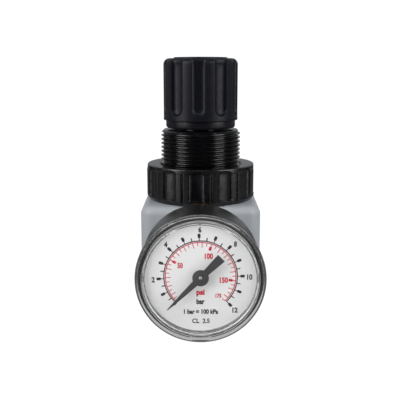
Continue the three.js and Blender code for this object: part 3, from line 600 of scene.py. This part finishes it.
def clamp_ring():
    """The ring that holds the bonnet down: scalloped, with a notch in each land."""
    skirt_r, hole_r, ceiling = 18.3, 15.4, 24.7
    rim_bottom = RING_TOP - 1.6
    rim_r = RING_R - 0.22
    flute_half, flute_depth, arch = 3.0, 1.35, 1.7
    arch_start = RING_TOP - 0.4 - arch
    chamfer_r, chamfer_top = RING_R - 0.9, RING_BOTTOM + 1.5
    lip_top = chamfer_top + 0.3

    def scalloped(r, h, angle):
        side = off_centre(angle, RING_FLUTES, RING_PHASE) * RING_R
        above = np.clip(h - arch_start, 0, None) * flute_half / arch
        channel = hollow(np.hypot(side, above), flute_half, 2.2)
        channel = channel * np.clip((h - lip_top) / 0.35, 0, 1)
        land = np.abs(off_centre(angle, RING_FLUTES, RING_PHASE + math.pi / RING_FLUTES))
        notch = np.clip(1 - land * RING_R / 0.42, 0, 1) * (h < rim_bottom - 0.05)
        limit = RING_R - np.maximum(flute_depth * channel, 0.42 * notch)
        return np.where(r > skirt_r + 0.5, np.minimum(r, limit), r)

    outer = rounded([(skirt_r, RING_BOTTOM), (chamfer_r, RING_BOTTOM, 0.3),
                     (RING_R, chamfer_top, 0.4), (RING_R, lip_top - 0.05)])
    outer += divided((RING_R, lip_top), (RING_R, lip_top + 0.5), 0.12)
    outer += divided((RING_R, lip_top + 0.5), (RING_R, arch_start), 1.5)
    outer += divided((RING_R, arch_start), (RING_R, rim_bottom - 0.12), 0.12)
    outer += divided((RING_R, rim_bottom - 0.12), (rim_r, rim_bottom + 0.1), 0.08)
    outer += divided((rim_r, rim_bottom + 0.1), (rim_r, RING_TOP - 0.42), 0.1)
    outer += [(rim_r - 0.4 + 0.4 * math.cos(a), RING_TOP - 0.4 + 0.4 * math.sin(a))
              for a in np.radians(range(0, 91, 18))]
    inner = rounded([(hole_r + 0.5, RING_TOP), (hole_r, RING_TOP - 0.5), (hole_r, ceiling),
                     (skirt_r, ceiling)])
    return turned("scalloped_ring", outer + inner, 720, scalloped)


finish(lock_collar(), "black_plastic", "black_plastic", "housing", "lock_collar")
finish(bonnet(), "gloss_black", "gloss_black_plastic", "housing", "bonnet")
finish(clamp_ring(), "ring_black", "gloss_black_plastic", "housing", "bonnet_ring")


# ------------------------------------------------------------------ body and plugs

PIPE_THREAD_R, PIPE_CORE_R = 6.55, 5.75                # G1/4
SOCKET_DEPTH, GAUGE_SOCKET_R, GAUGE_SOCKET_DEPTH = 10.75, 5.2, 9


def block_radius(inset, angle, corner=5.0):
    """How far the body's rounded rectangle, drawn in by inset, is from the spindle."""
    across, up = np.abs(np.sin(angle)), np.abs(np.cos(angle))
    half_x, half_y, r = HALF_WIDTH - inset, HALF_DEPTH - inset, max(corner - inset, 0.5)
    flat = np.minimum(half_x / np.maximum(across, 1e-9), half_y / np.maximum(up, 1e-9))
    centre = np.array([half_x - r, half_y - r])
    along = across * centre[0] + up * centre[1]
    arc = along + np.sqrt(np.maximum(along**2 - centre @ centre + r * r, 0))
    in_corner = (flat * across > centre[0]) & (flat * up > centre[1])
    return np.where(in_corner, arc, flat)


def cast_body():
    """The die-cast block with its ports, chambers, risers and the threaded neck's root."""
    edge, neck_r, chamber_r, floor = 2.9, 18, 14, 8
    facets = 480
    angle = np.arange(facets) * TURN / facets
    quarter = np.radians(np.arange(0, 91, 15))
    fillet = np.clip(block_radius(edge, angle) - neck_r - 0.05, 0.05, 2.4)
    rows = [(block_radius(edge * (1 - math.sin(a)), angle),
             BLOCK_BOTTOM + edge * (1 - math.cos(a))) for a in quarter]
    rows += [(block_radius(edge * (1 - math.cos(a)), angle),
              BODY_TOP - edge * (1 - math.sin(a))) for a in quarter]
    rows += [(neck_r + fillet * (1 - math.sin(a)), BODY_TOP + fillet * (1 - math.cos(a)))
             for a in quarter]
    turned_rows = rounded([
        (neck_r, BODY_TOP + 3), (neck_r, NECK_TOP, 0.3),
        (chamber_r, NECK_TOP, 0.3), (chamber_r, floor, 0.6), (4.2, floor), (4.2, 3), (6.3, 3),
        (6.3, -1.2), (8.5, -1.2), (8.5, BODY_BOTTOM), (14, BODY_BOTTOM, 0.5),
        (14, BLOCK_BOTTOM, 0.4), (14.8, BLOCK_BOTTOM)])
    rows += [(np.full(facets, r), z) for r, z in turned_rows]
    piece = skin("cast_body", [r for r, z in rows],
                 [np.broadcast_to(z, facets) for r, z in rows])
    towards_x = Matrix.Rotation(math.pi / 2, 4, "Y")
    towards_y = Matrix.Rotation(-math.pi / 2, 4, "X")
    holes = []
    for sign in (1, -1):
        side = Matrix.Rotation(0 if sign > 0 else math.pi, 4, "Z")
        holes.append(cylinder(PIPE_THREAD_R, HALF_WIDTH - SOCKET_DEPTH, HALF_WIDTH + 0.5,
                              side @ towards_x, 72, 1.0))
        holes.append(cylinder(GAUGE_SOCKET_R, HALF_DEPTH - GAUGE_SOCKET_DEPTH, HALF_DEPTH + 0.5,
                              side @ towards_y, 72, 1.0))
    low = Matrix.Translation((0, 0, -4))
    holes.append(cylinder(2.4, -HALF_WIDTH + SOCKET_DEPTH - 1, -7.5, low @ towards_x, 32))
    for r, x, y in ((2.2, 13, 0), (1.6, 0, 13), (1.6, 0, -13)):
        holes.append(cylinder(r, 0, floor + 1, Matrix.Translation((x, y, 0)), 32))
    return combined(piece, holes, "DIFFERENCE")


def port_thread(name, sign):
    """The female pipe thread cut in a side port, a real helix of 1.337 mm pitch."""
    pitch = 1.337
    back, mouth = HALF_WIDTH - SOCKET_DEPTH + 0.4, HALF_WIDTH - 1.3

    def helix(r, h, angle):
        turn = (h / pitch - angle / TURN) % 1
        ridge = np.clip(1 - np.abs(turn - 0.5) / 0.42, 0, 1)
        inside = PIPE_THREAD_R - 0.1 - (PIPE_THREAD_R - 0.1 - PIPE_CORE_R) * ridge
        return np.where(r < PIPE_THREAD_R - 0.05, inside, r)

    profile = [(PIPE_THREAD_R - 0.02, mouth), (PIPE_THREAD_R - 0.02, back)]
    profile += divided((PIPE_CORE_R, back), (PIPE_CORE_R, mouth), pitch / 14) + [
        (PIPE_CORE_R, mouth)]
    towards = Matrix.Rotation(sign * math.pi / 2, 4, "Y")
    return turned(name, profile, 96, helix, towards)


finish(cast_body(), "grey_paint", "grey_paint", "housing", "body")
finish(port_thread("inlet_thread", -1), "zinc", "zinc", "housing")
finish(port_thread("outlet_thread", 1), "zinc", "zinc", "housing")


def bottom_plug():
    """The screwed plug under the body, with a hexagon socket and a knurled flange."""
    flange_top, shank_r, groove_r, guide_r, flats = BODY_BOTTOM - 0.3, 8.2, 7, 3.3, 12

    def knurled(r, h, angle):
        ridge = 0.18 * np.abs(np.sin(angle * 30)) * (r > PLUG_R - 0.3)
        return hexagon(flats)(r - ridge, h, angle)

    profile = rounded([
        (flats / 2, PLUG_BOTTOM), (PLUG_R - 1.1, PLUG_BOTTOM, 0.3), (PLUG_R, PLUG_BOTTOM + 1, 0.3),
        (PLUG_R, flange_top, 0.2), (shank_r, flange_top), (shank_r, -18.8), (groove_r, -18.8),
        (groove_r, -16.8), (shank_r, -16.8), (shank_r, PLUG_TOP, 0.3), (guide_r, PLUG_TOP),
        (guide_r, PLUG_BOTTOM + 5), (0, PLUG_BOTTOM + 5), (0, PLUG_BOTTOM + 2.5),
        (flats / 2, PLUG_BOTTOM + 2.5)])
    first_on_axis = next(i for i, (r, _) in enumerate(profile) if r == 0)
    profile = profile[first_on_axis + 1:] + profile[:first_on_axis + 1]
    return turned("base_plug", profile, 240, knurled)


def back_plug():
    """The blanking plug in the second gauge port, with a hexagon socket."""
    inner, face, shank_r, head_r, flats = HALF_DEPTH - 8.2, HEAD_Y - 3.6, 4.85, 7.2, 5
    socket_floor = face - 0.4
    profile = rounded([
        (0, inner), (shank_r, inner, 0.5), (shank_r, face), (head_r, face, 0.2),
        (head_r, HEAD_Y, 0.6), (flats / 2, HEAD_Y), (flats / 2, socket_floor),
        (0, socket_floor)])
    return turned("rear_plug", profile, 120, hexagon(flats),
                  Matrix.Rotation(-math.pi / 2, 4, "X"))


def gasket(name, node, axis):
    """A flat sealing ring with rounded edges where the CAD node is."""
    low, high = (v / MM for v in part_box(node))
    inner, outer = (5.3, 7.2) if axis == "back" else (5.2, 7.3)
    near, far = sorted((abs(low.y), abs(high.y)))
    matrix = Matrix.Rotation((-1 if axis == "back" else 1) * math.pi / 2, 4, "X")
    return turned(name, rounded([(inner, near), (outer, near, 0.25), (outer, far, 0.25),
                                 (inner, far)]), 72, matrix=matrix)


finish(bottom_plug(), "black_plastic", "black_plastic", "housing", "bottom_plug")
finish(back_plug(), "zinc", "zinc", "housing", "back_port_plug")
finish(gasket("rear_gasket", "back_plug_seal", "back"), "rubber", "rubber", "housing",
       "back_plug_seal")
finish(gasket("gauge_gasket", "gauge_stem_seal", "front"), "rubber", "rubber", "housing",
       "gauge_stem_seal")


# ------------------------------------------------------------------ springs and diaphragm

_, SPRING_BOTTOM, SPRING_TOP = spindle_span("control_spring")
_, VALVE_SPRING_BOTTOM, VALVE_SPRING_TOP = spindle_span("valve_spring")
DIAPHRAGM_R, DIAPHRAGM_BOTTOM, DIAPHRAGM_TOP = spindle_span("diaphragm")


def squashed(obj):
    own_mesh(obj)


control_spring = spring("main_spring", 7, 0.8, SPRING_BOTTOM, SPRING_TOP, 4.5)
finish(control_spring, "spring_steel", "spring_steel", "housing", "control_spring")
squashed(control_spring)

valve_spring = spring("return_spring", 4.6, 0.45, VALVE_SPRING_BOTTOM, VALVE_SPRING_TOP, 5)
finish(valve_spring, "spring_steel", "spring_steel", "housing", "valve_spring")
squashed(valve_spring)

CLAMP_BOTTOM = 20.3                                    # of the diaphragm's clamped edge

membrane = turned("membrane", rounded([
    (3.2, DIAPHRAGM_BOTTOM), (10, DIAPHRAGM_BOTTOM, 1.2), (13.4, CLAMP_BOTTOM, 1.2),
    (DIAPHRAGM_R, CLAMP_BOTTOM, 0.2), (DIAPHRAGM_R, DIAPHRAGM_TOP, 0.2),
    (12.9, DIAPHRAGM_TOP, 1.2), (9.5, DIAPHRAGM_BOTTOM + 1.1, 1.2),
    (3.2, DIAPHRAGM_BOTTOM + 1.1)]), 96)
finish(membrane, "rubber", "rubber", None, "diaphragm")   # given no body here
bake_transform(membrane)


# ------------------------------------------------------------------ gauge case and window


def gauge_case():
    """The black case: a turned shell, a little narrower at its mouth, with a notch for the tab."""
    stem_hole, back_r, mouth_r, inner_r, floor = 6.4, 18.8, 18.65, 17.8, 37
    ledge = DIAL_BACK - 0.3
    profile = rounded([
        (stem_hole, CASE_BACK), (back_r, CASE_BACK, 0.3), (CASE_R, CASE_BACK + 1.3, 0.8),
        (CASE_R, CASE_SHOULDER, 0.15), (MOUTH_R, CASE_SHOULDER, 0.1), (MOUTH_R, CASE_FRONT, 0.12),
        (mouth_r, CASE_FRONT, 0.1), (mouth_r, ledge), (inner_r, ledge), (inner_r, floor, 0.8),
        (stem_hole, floor)])
    piece = turned("case_shell", profile, 360, matrix=GAUGE)
    cutters = [bar(-3.2, 3.2, -CASE_R - 1, -18.4, CASE_FRONT - 1.3, CASE_FRONT + 1, matrix=GAUGE)]
    for x in (-CASE_SCREW_X, CASE_SCREW_X):
        cutters.append(cylinder(1.3, CASE_BACK - 1, floor + 1,
                                GAUGE @ Matrix.Translation((x, 0, 0)), 32))
    piece = combined(piece, cutters, "DIFFERENCE")
    lugs = [bar(-1.5, 1.5, 17.9, mouth_r + 0.2, DIAL_FACE + 0.02, DIAL_FACE + 0.2, turn, GAUGE)
            for turn in (math.pi / 2, -math.pi / 2)]
    return combined(piece, lugs, "UNION")


def gauge_window():
    """The clear window over the case's mouth, with a stepped face and a tab to prise it off by."""
    skirt_in, skirt_out = 17.75, 18.35
    disc_back, rim_back = WINDOW_FRONT - 1.2, CASE_FRONT + 0.3
    profile = rounded([
        (0, disc_back), (skirt_in - 0.4, disc_back, 0.2), (skirt_in, disc_back - 0.5, 0.2),
        (skirt_in, SKIRT_BACK, 0.12), (skirt_out, SKIRT_BACK, 0.12), (skirt_out, rim_back, 0.15),
        (WINDOW_R, rim_back, 0.15), (WINDOW_R, WINDOW_FRONT - 0.8, 0.3),
        (WINDOW_R - 0.65, WINDOW_FRONT, 0.3),
        (skirt_out + 0.15, WINDOW_FRONT, 0.08),
        (skirt_out, WINDOW_FRONT - 0.22, 0.08), (skirt_in + 0.25, WINDOW_FRONT - 0.22, 0.08),
        (skirt_in + 0.1, WINDOW_FRONT, 0.08), (0, WINDOW_FRONT)])
    disc = turned("window_disc", profile, 360, matrix=GAUGE)
    tab = bar(-2.85, 2.85, -WINDOW_R + 0.15, -18.75, CASE_FRONT - 1, WINDOW_FRONT - 1.5,
              matrix=GAUGE)
    return combined(disc, [tab], "UNION")


finish(gauge_case(), "case_black", "gloss_black_plastic", "housing", "gauge_case")
finish(gauge_window(), "clear_window", "clear_window", "housing", "gauge_window")


def gauge_stem():
    """The brass connection: thread, square for the spanner, and the block inside the case."""
    thread_r, bore_r, pitch = 4.85, 1.7, 0.907
    wide_r, marked_r = 7, 6.99                         # rows at marked_r are made square
    end, flange, square, neck = 12.6, 23.1, 24.2, 33.2
    block_back, block_front = 37.3, 42.2

    def helix(r, h, angle):
        turn = (h / pitch - angle / TURN) % 1
        thread = thread_r - 0.55 * np.abs(turn - 0.5) * 2
        threaded = np.isclose(r, thread_r) & (h > end + 0.6) & (h < flange - 1.5)
        square_r = wide_r / np.maximum(np.abs(np.cos(angle)), np.abs(np.sin(angle)))
        squared = np.isclose(r, marked_r)
        return np.where(threaded, thread, np.where(squared, np.minimum(square_r, 9.1), r))

    profile = [(bore_r, end), (thread_r - 0.4, end), (thread_r, end + 0.5)]
    profile += divided((thread_r, end + 0.6), (thread_r, flange), 0.09)
    profile += [(thread_r, flange), (wide_r, flange), (wide_r, square),
                (marked_r, square + 0.01), (marked_r, neck), (6, neck + 0.01),
                (6, block_back + 0.5), (bore_r, block_back + 0.5)]
    piece = turned("brass_stem", profile, 144, helix, GAUGE)
    block = bar(-10, 10, -4, 4, block_back, block_front, matrix=GAUGE)
    arm = bar(-1.8, 1.8, -15.4, 0, block_back, block_front, math.radians(-38), GAUGE)
    riser = extruded("riser", [arc_band(12.6, 15.4, math.radians(208), math.radians(222.5), 8)],
                     block_front - 0.7, 46.3, GAUGE)
    piece = combined(piece, [block, arm, riser], "UNION")
    holes = [cylinder(1.3, 36, 41, GAUGE @ Matrix.Translation((x, 0, 0)), 24)
             for x in (-CASE_SCREW_X, CASE_SCREW_X)]
    return combined(piece, holes, "DIFFERENCE")


def arc_band(inner, outer, start, end, steps):
    """A band between two radii; angles run clockwise from the top of the dial."""
    angles = np.linspace(start, end, steps + 1)
    out = [(outer * math.sin(a), outer * math.cos(a)) for a in angles]
    back = [(inner * math.sin(a), inner * math.cos(a)) for a in angles[::-1]]
    return out + back


finish(gauge_stem(), "gauge_brass", "brass", "housing", "gauge_stem")


# ------------------------------------------------------------------ dial and its print

dial_plate = turned("dial_plate", rounded([
    (1.4, DIAL_BACK), (DIAL_R, DIAL_BACK), (DIAL_R, DIAL_FACE, 0.08), (1.4, DIAL_FACE, 0.08)]),
    192, matrix=GAUGE)
finish(dial_plate, "dial_white", "dial_white", "housing", "dial")

INK = 0.02                                             # thickness of the print


def lettering(text, height, width, x, y, weight=0.046):
    """Text from the built-in font, as a mesh centred at (x, y) and fitted to a size."""
    letter_height, thickness = 0.73, 0.02              # a capital's, in the font's own units
    curve = bpy.data.curves.new("lettering", "FONT")
    curve.body, curve.resolution_u, curve.extrude = text, 3, thickness / 2
    curve.offset = weight
    obj = placed("lettering", curve)
    bpy.context.view_layer.update()
    made = obj.evaluated_get(bpy.context.evaluated_depsgraph_get())
    mesh = bpy.data.meshes.new_from_object(made)
    bpy.data.objects.remove(obj)
    points = np.array([v.co for v in mesh.vertices])
    low, high = points.min(0), points.max(0)
    scale = np.array([width / (high[0] - low[0]), height / letter_height, INK / thickness])
    middle = np.array([(low[0] + high[0]) / 2, letter_height / 2, -thickness / 2])
    points = (points - middle) * scale + np.array([x, y, 0])
    return points, [tuple(p.vertices) for p in mesh.polygons]


def radial(angle, inner, outer, width):
    """A straight mark along a radius."""
    along = np.array([math.sin(angle), math.cos(angle)])
    across = np.array([along[1], -along[0]]) * width / 2
    return [tuple(along * r + across * s) for r, s in
            ((inner, -1), (inner, 1), (outer, 1), (outer, -1))]


def club(angle, start, end, width, stem):
    """A thick rounded mark on a thin stem, away from the scale's line."""
    flip = 1 if end > start else -1
    along = np.array([math.sin(angle), math.cos(angle)])
    across = np.array([along[1], -along[0]])
    shape = rounded([(-width / 2, 0, width * 0.3), (width / 2, 0, width * 0.3),
                     (width / 2, flip * (abs(end - start)), width * 0.3),
                     (-width / 2, flip * abs(end - start), width * 0.3)], steps=3)
    body = [tuple(along * (start + v) + across * u) for u, v in shape]
    return [body, radial(angle, *sorted((stem, start + flip * 0.1)), 0.26)]


def printed(name, look, slot, marks, letters):
    """One layer of print: flat marks and lettering as a single thin mesh on the dial."""
    vertices, faces = prisms(marks, 0, INK)
    for points, polygons in letters:
        first = len(vertices)
        vertices += [tuple(p) for p in points]
        faces += [tuple(first + i for i in polygon) for polygon in polygons]
    lift = GAUGE @ Matrix.Translation((0, 0, DIAL_FACE + 0.004))
    finish(new_object(name, vertices, faces, lift), look, slot, "housing")


def at_bar(value):
    return SCALE_START + value * BAR_TURN


def numbers(labels):
    """Lettering at (text, value in bar, radius, lean in degrees, height, width)."""
    made = []
    for text, value, r, lean, height, width in labels:
        angle = at_bar(value) + math.radians(lean)
        made.append(lettering(text, height, width, r * math.sin(angle), r * math.cos(angle)))
    return made


def bar_scale():
    """The outer scale, 0 to 12 bar."""
    line_r, line, club_start, club_end = 11.4, 0.34, 12.5, 13.9
    marks = [arc_band(line_r, line_r + line, at_bar(0), at_bar(12), 120)]
    for half in range(25):
        angle = at_bar(half / 2)
        if half % 2:
            marks.append(radial(angle, line_r, 12.75, 0.34))
        elif 0 < half:
            marks += club(angle, club_start, club_end, 0.88, line_r)
    marks.append(radial(at_bar(0), line_r, 12.7, 0.3))
    letters = numbers([("2", 2, 14.95, -0.5, 1.7, 1.0), ("4", 4, 15.1, 1.5, 1.7, 1.1),
                       ("6", 6, 15.2, 1.2, 1.65, 0.95), ("8", 8, 15.2, 2, 1.7, 0.95),
                       ("10", 10, 15.45, 1.1, 1.7, 1.65), ("12", 12, 15.5, 0.4, 1.6, 1.7)])
    letters.append(lettering("bar", 1.75, 2.65, 0, -8.1))
    letters.append(lettering("1 bar = 100 kPa", 1.5, 10.9, 0.14, -11.5))
    letters.append(lettering("CL  2.5", 1.5, 5.6, 0.1, -14.6, 0.03))
    printed("print_black", "ink_black", "dial_ink_black", marks, letters)


def psi_scale():
    """The inner scale, 0 to 175 psi."""
    line_r, line, long_r, short_r = 10.95, 0.3, 9.4, 9.95
    marks = [arc_band(line_r, line_r + line, at_bar(0), at_bar(175 * BAR_PER_PSI), 120)]
    for psi in range(0, 176, 5):
        angle = at_bar(psi * BAR_PER_PSI)
        if psi in (50, 100, 150):
            marks += club(angle, 10.2, 8.9, 0.85, line_r)
        else:
            marks.append(radial(angle, long_r if psi % 10 == 0 else short_r, line_r, 0.24))
    letters = numbers([("50", 50 * BAR_PER_PSI, 7.4, 0, 1.7, 1.75),
                       ("100", 100 * BAR_PER_PSI, 7.2, 2.6, 1.75, 2.6),
                       ("150", 150 * BAR_PER_PSI, 7.4, 1.5, 1.75, 2.6),
                       ("175", 175 * BAR_PER_PSI, 8.4, 1.5, 1.25, 1.85)])
    letters.append(lettering("psi", 1.8, 2.6, 0, -5.0))
    printed("print_red", "ink_red", "dial_ink_red", marks, letters)


bar_scale()
psi_scale()


def pointer():
    """The pointer at zero: a tapered blade, its tail, and a domed hub."""
    _, collet_back, hub_front = gauge_span("pointer")
    back, front = hub_front - 0.5, hub_front - 0.2
    hub_r, hole_r = 2.6, 0.6
    tip, tail = 14.85, -9.15
    blade = extruded("blade", [[(0.14, tip), (-0.14, tip), (-0.68, 8.0), (-1.0, 2.3), (-1.0, -2.3),
                                (-1.15, -4.2), (-1.48, tail), (1.48, tail), (1.15, -4.2),
                                (1.0, -2.3), (1.0, 2.3), (0.68, 8.0)]],
                     back, front)
    hub = turned("indicator", rounded([
        (hole_r, collet_back), (0.95, collet_back), (0.95, back - 0.1), (hub_r, back - 0.1, 0.05),
        (hub_r, hub_front, 0.15), (hole_r, hub_front)]), 96)
    piece = combined(hub, [blade], "UNION")
    piece.data.transform(Matrix.Scale(MM, 4) @ GAUGE @ Matrix.Rotation(-ZERO_ANGLE, 4, "Z")
                         @ Matrix.Scale(1 / MM, 4))
    return eased(piece)


finish(pointer(), "pointer_grey", "pointer_grey", "pointer_set", "pointer")

HUB_FRONT = gauge_span("pointer")[2]
pin = turned("pointer_pin", [(0, HUB_FRONT - 0.1), (0.5, HUB_FRONT - 0.1), (0.5, HUB_FRONT + 0.04),
                             (0.4, HUB_FRONT + 0.14), (0.22, HUB_FRONT + 0.22),
                             (0, HUB_FRONT + 0.25)], 32, matrix=GAUGE)
finish(pin, "pin", "steel", "pointer_set")


# ------------------------------------------------------------------ carried-over CAD nodes

CARRIED = {
    "brass": ["valve_seat", "poppet", "relief_seat", "spring_nut"],
    "gauge_brass": ["gauge_throttle", "movement_back_plate", "movement_front_plate",
                    "movement_pillar_left", "movement_pillar_right", "sector_gear", "link",
                    "bourdon_tip"],
    "steel": ["adjusting_screw", "thrust_washer", "retaining_ring", "knob_screw",
              "case_screw_left", "case_screw_right", "movement_screw_left",
              "movement_screw_right", "pinion_arbor", "sector_arbor"],
    "zinc": ["diaphragm_plate"],
    "bronze": ["bourdon_tube", "hairspring"],
    "rubber": ["bottom_plug_o_ring", "valve_disc", "poppet_o_ring"],
}

for look, names in CARRIED.items():
    for name in names:
        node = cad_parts[name]
        node.data.materials.clear()
        node.data.materials.append(LOOKS[look])
        eased(node)


# ------------------------------------------------------------------ studio


def softbox(name, azimuth, elevation, distance, width, height, power, aim=(0, -20, 15)):
    """An area light; azimuth runs from the front (-Y) towards +X, in degrees."""
    a, e = math.radians(azimuth), math.radians(elevation)
    light = bpy.data.lights.new(name, "AREA")
    light.shape, light.size, light.size_y = "RECTANGLE", width * MM, height * MM
    light.energy = power
    obj = placed(name, light)
    away = Vector((math.sin(a) * math.cos(e), -math.cos(a) * math.cos(e), math.sin(e)))
    obj.location = Vector(aim) * MM + away * distance * MM
    obj.rotation_euler = away.to_track_quat("Z", "Y").to_euler()


def straight_view(graph):
    """1 for rays that have met no surface but clear ones since the camera, and what they see.

    That is white, or the studio's pale grey once the ray has gone through the gauge's window.
    """
    white, through_window = 1.05, 0.42
    path = graph.add("ShaderNodeLightPath").outputs
    met = graph.add("ShaderNodeMath", {0: path["Diffuse Depth"], 1: path["Glossy Depth"]},
                    operation="ADD")
    none = graph.add("ShaderNodeMath", {0: met.outputs[0], 1: 0.5}, operation="LESS_THAN")
    seen = graph.add("ShaderNodeMapRange", {
        "Value": path["Transmission Depth"], "To Min": white, "To Max": through_window})
    return none.outputs[0], seen.outputs["Result"]


def studio():
    """Two softboxes, a weak lamp in front, and surroundings that are pale behind the part only."""
    softbox("left_box", -62, 24, 420, 240, 560, 2.1)
    softbox("right_box", 62, 24, 420, 240, 560, 1.88)
    softbox("front_box", 0, 52, 420, 200, 160, 0.2)
    world = bpy.data.worlds.new("studio")
    bpy.context.scene.world = world
    world.use_nodes = True
    world.node_tree.nodes.clear()
    graph = Graph(world.node_tree)
    direction = graph.add("ShaderNodeTexCoord").outputs["Generated"]
    axes = graph.add("ShaderNodeSeparateXYZ", {0: direction})
    backdrop = graph.add("ShaderNodeMapRange", {
        "Value": axes.outputs["Y"], "From Min": 0, "From Max": 0.5,
        "To Min": 0.03, "To Max": 0.42})
    around = graph.add("ShaderNodeBackground", {
        "Color": (0.96, 0.98, 1, 1), "Strength": backdrop.outputs["Result"]})
    straight, seen = straight_view(graph)
    plain = graph.add("ShaderNodeBackground", {"Color": (1, 1, 1, 1), "Strength": seen})
    mix = graph.add("ShaderNodeMixShader", {
        0: straight, 1: around.outputs[0], 2: plain.outputs[0]})
    graph.add("ShaderNodeOutputWorld", {"Surface": mix.outputs[0]})


def studio_floor():
    """A pale floor that shows as pure white and gives back a little light."""
    size = 900
    bm = bmesh.new()
    bmesh.ops.create_grid(bm, x_segments=1, y_segments=1, size=size * MM)
    mesh = bpy.data.meshes.new("studio_floor")
    bm.to_mesh(mesh)
    bm.free()
    obj = placed("studio_floor", mesh)
    obj.location.z = (PLUG_BOTTOM - 0.1) * MM
    n = Nodes("studio_floor_look")
    n.drive("Base Color", (0.2, 0.2, 0.2, 1))
    n.drive("Roughness", 0.9)
    straight, seen = straight_view(n)
    glow = n.add("ShaderNodeEmission", {"Color": (1, 1, 1, 1), "Strength": seen})
    mix = n.add("ShaderNodeMixShader", {0: straight, 1: n.shader.outputs[0], 2: glow.outputs[0]})
    n.tree.links.new(mix.outputs[0], n.output.inputs["Surface"])
    mesh.materials.append(n.material)


def camera():
    """The viewpoint: a little above the gauge, looking slightly down."""
    distance, height, pitch, yaw = 260.9, 65.45, 11.15, 0.05
    data = bpy.data.cameras.new("camera")
    data.sensor_width, data.lens = 36, 61.7
    data.clip_start, data.clip_end = 0.01, 10
    obj = placed("camera", data)
    obj.location = (0, -distance * MM, height * MM)
    obj.rotation_euler = (math.radians(90 - pitch), 0, math.radians(yaw))
    bpy.context.scene.camera = obj


studio()
studio_floor()
camera()
bpy.context.scene.view_settings.view_transform = "Standard"
bpy.context.scene.view_settings.look = "None"
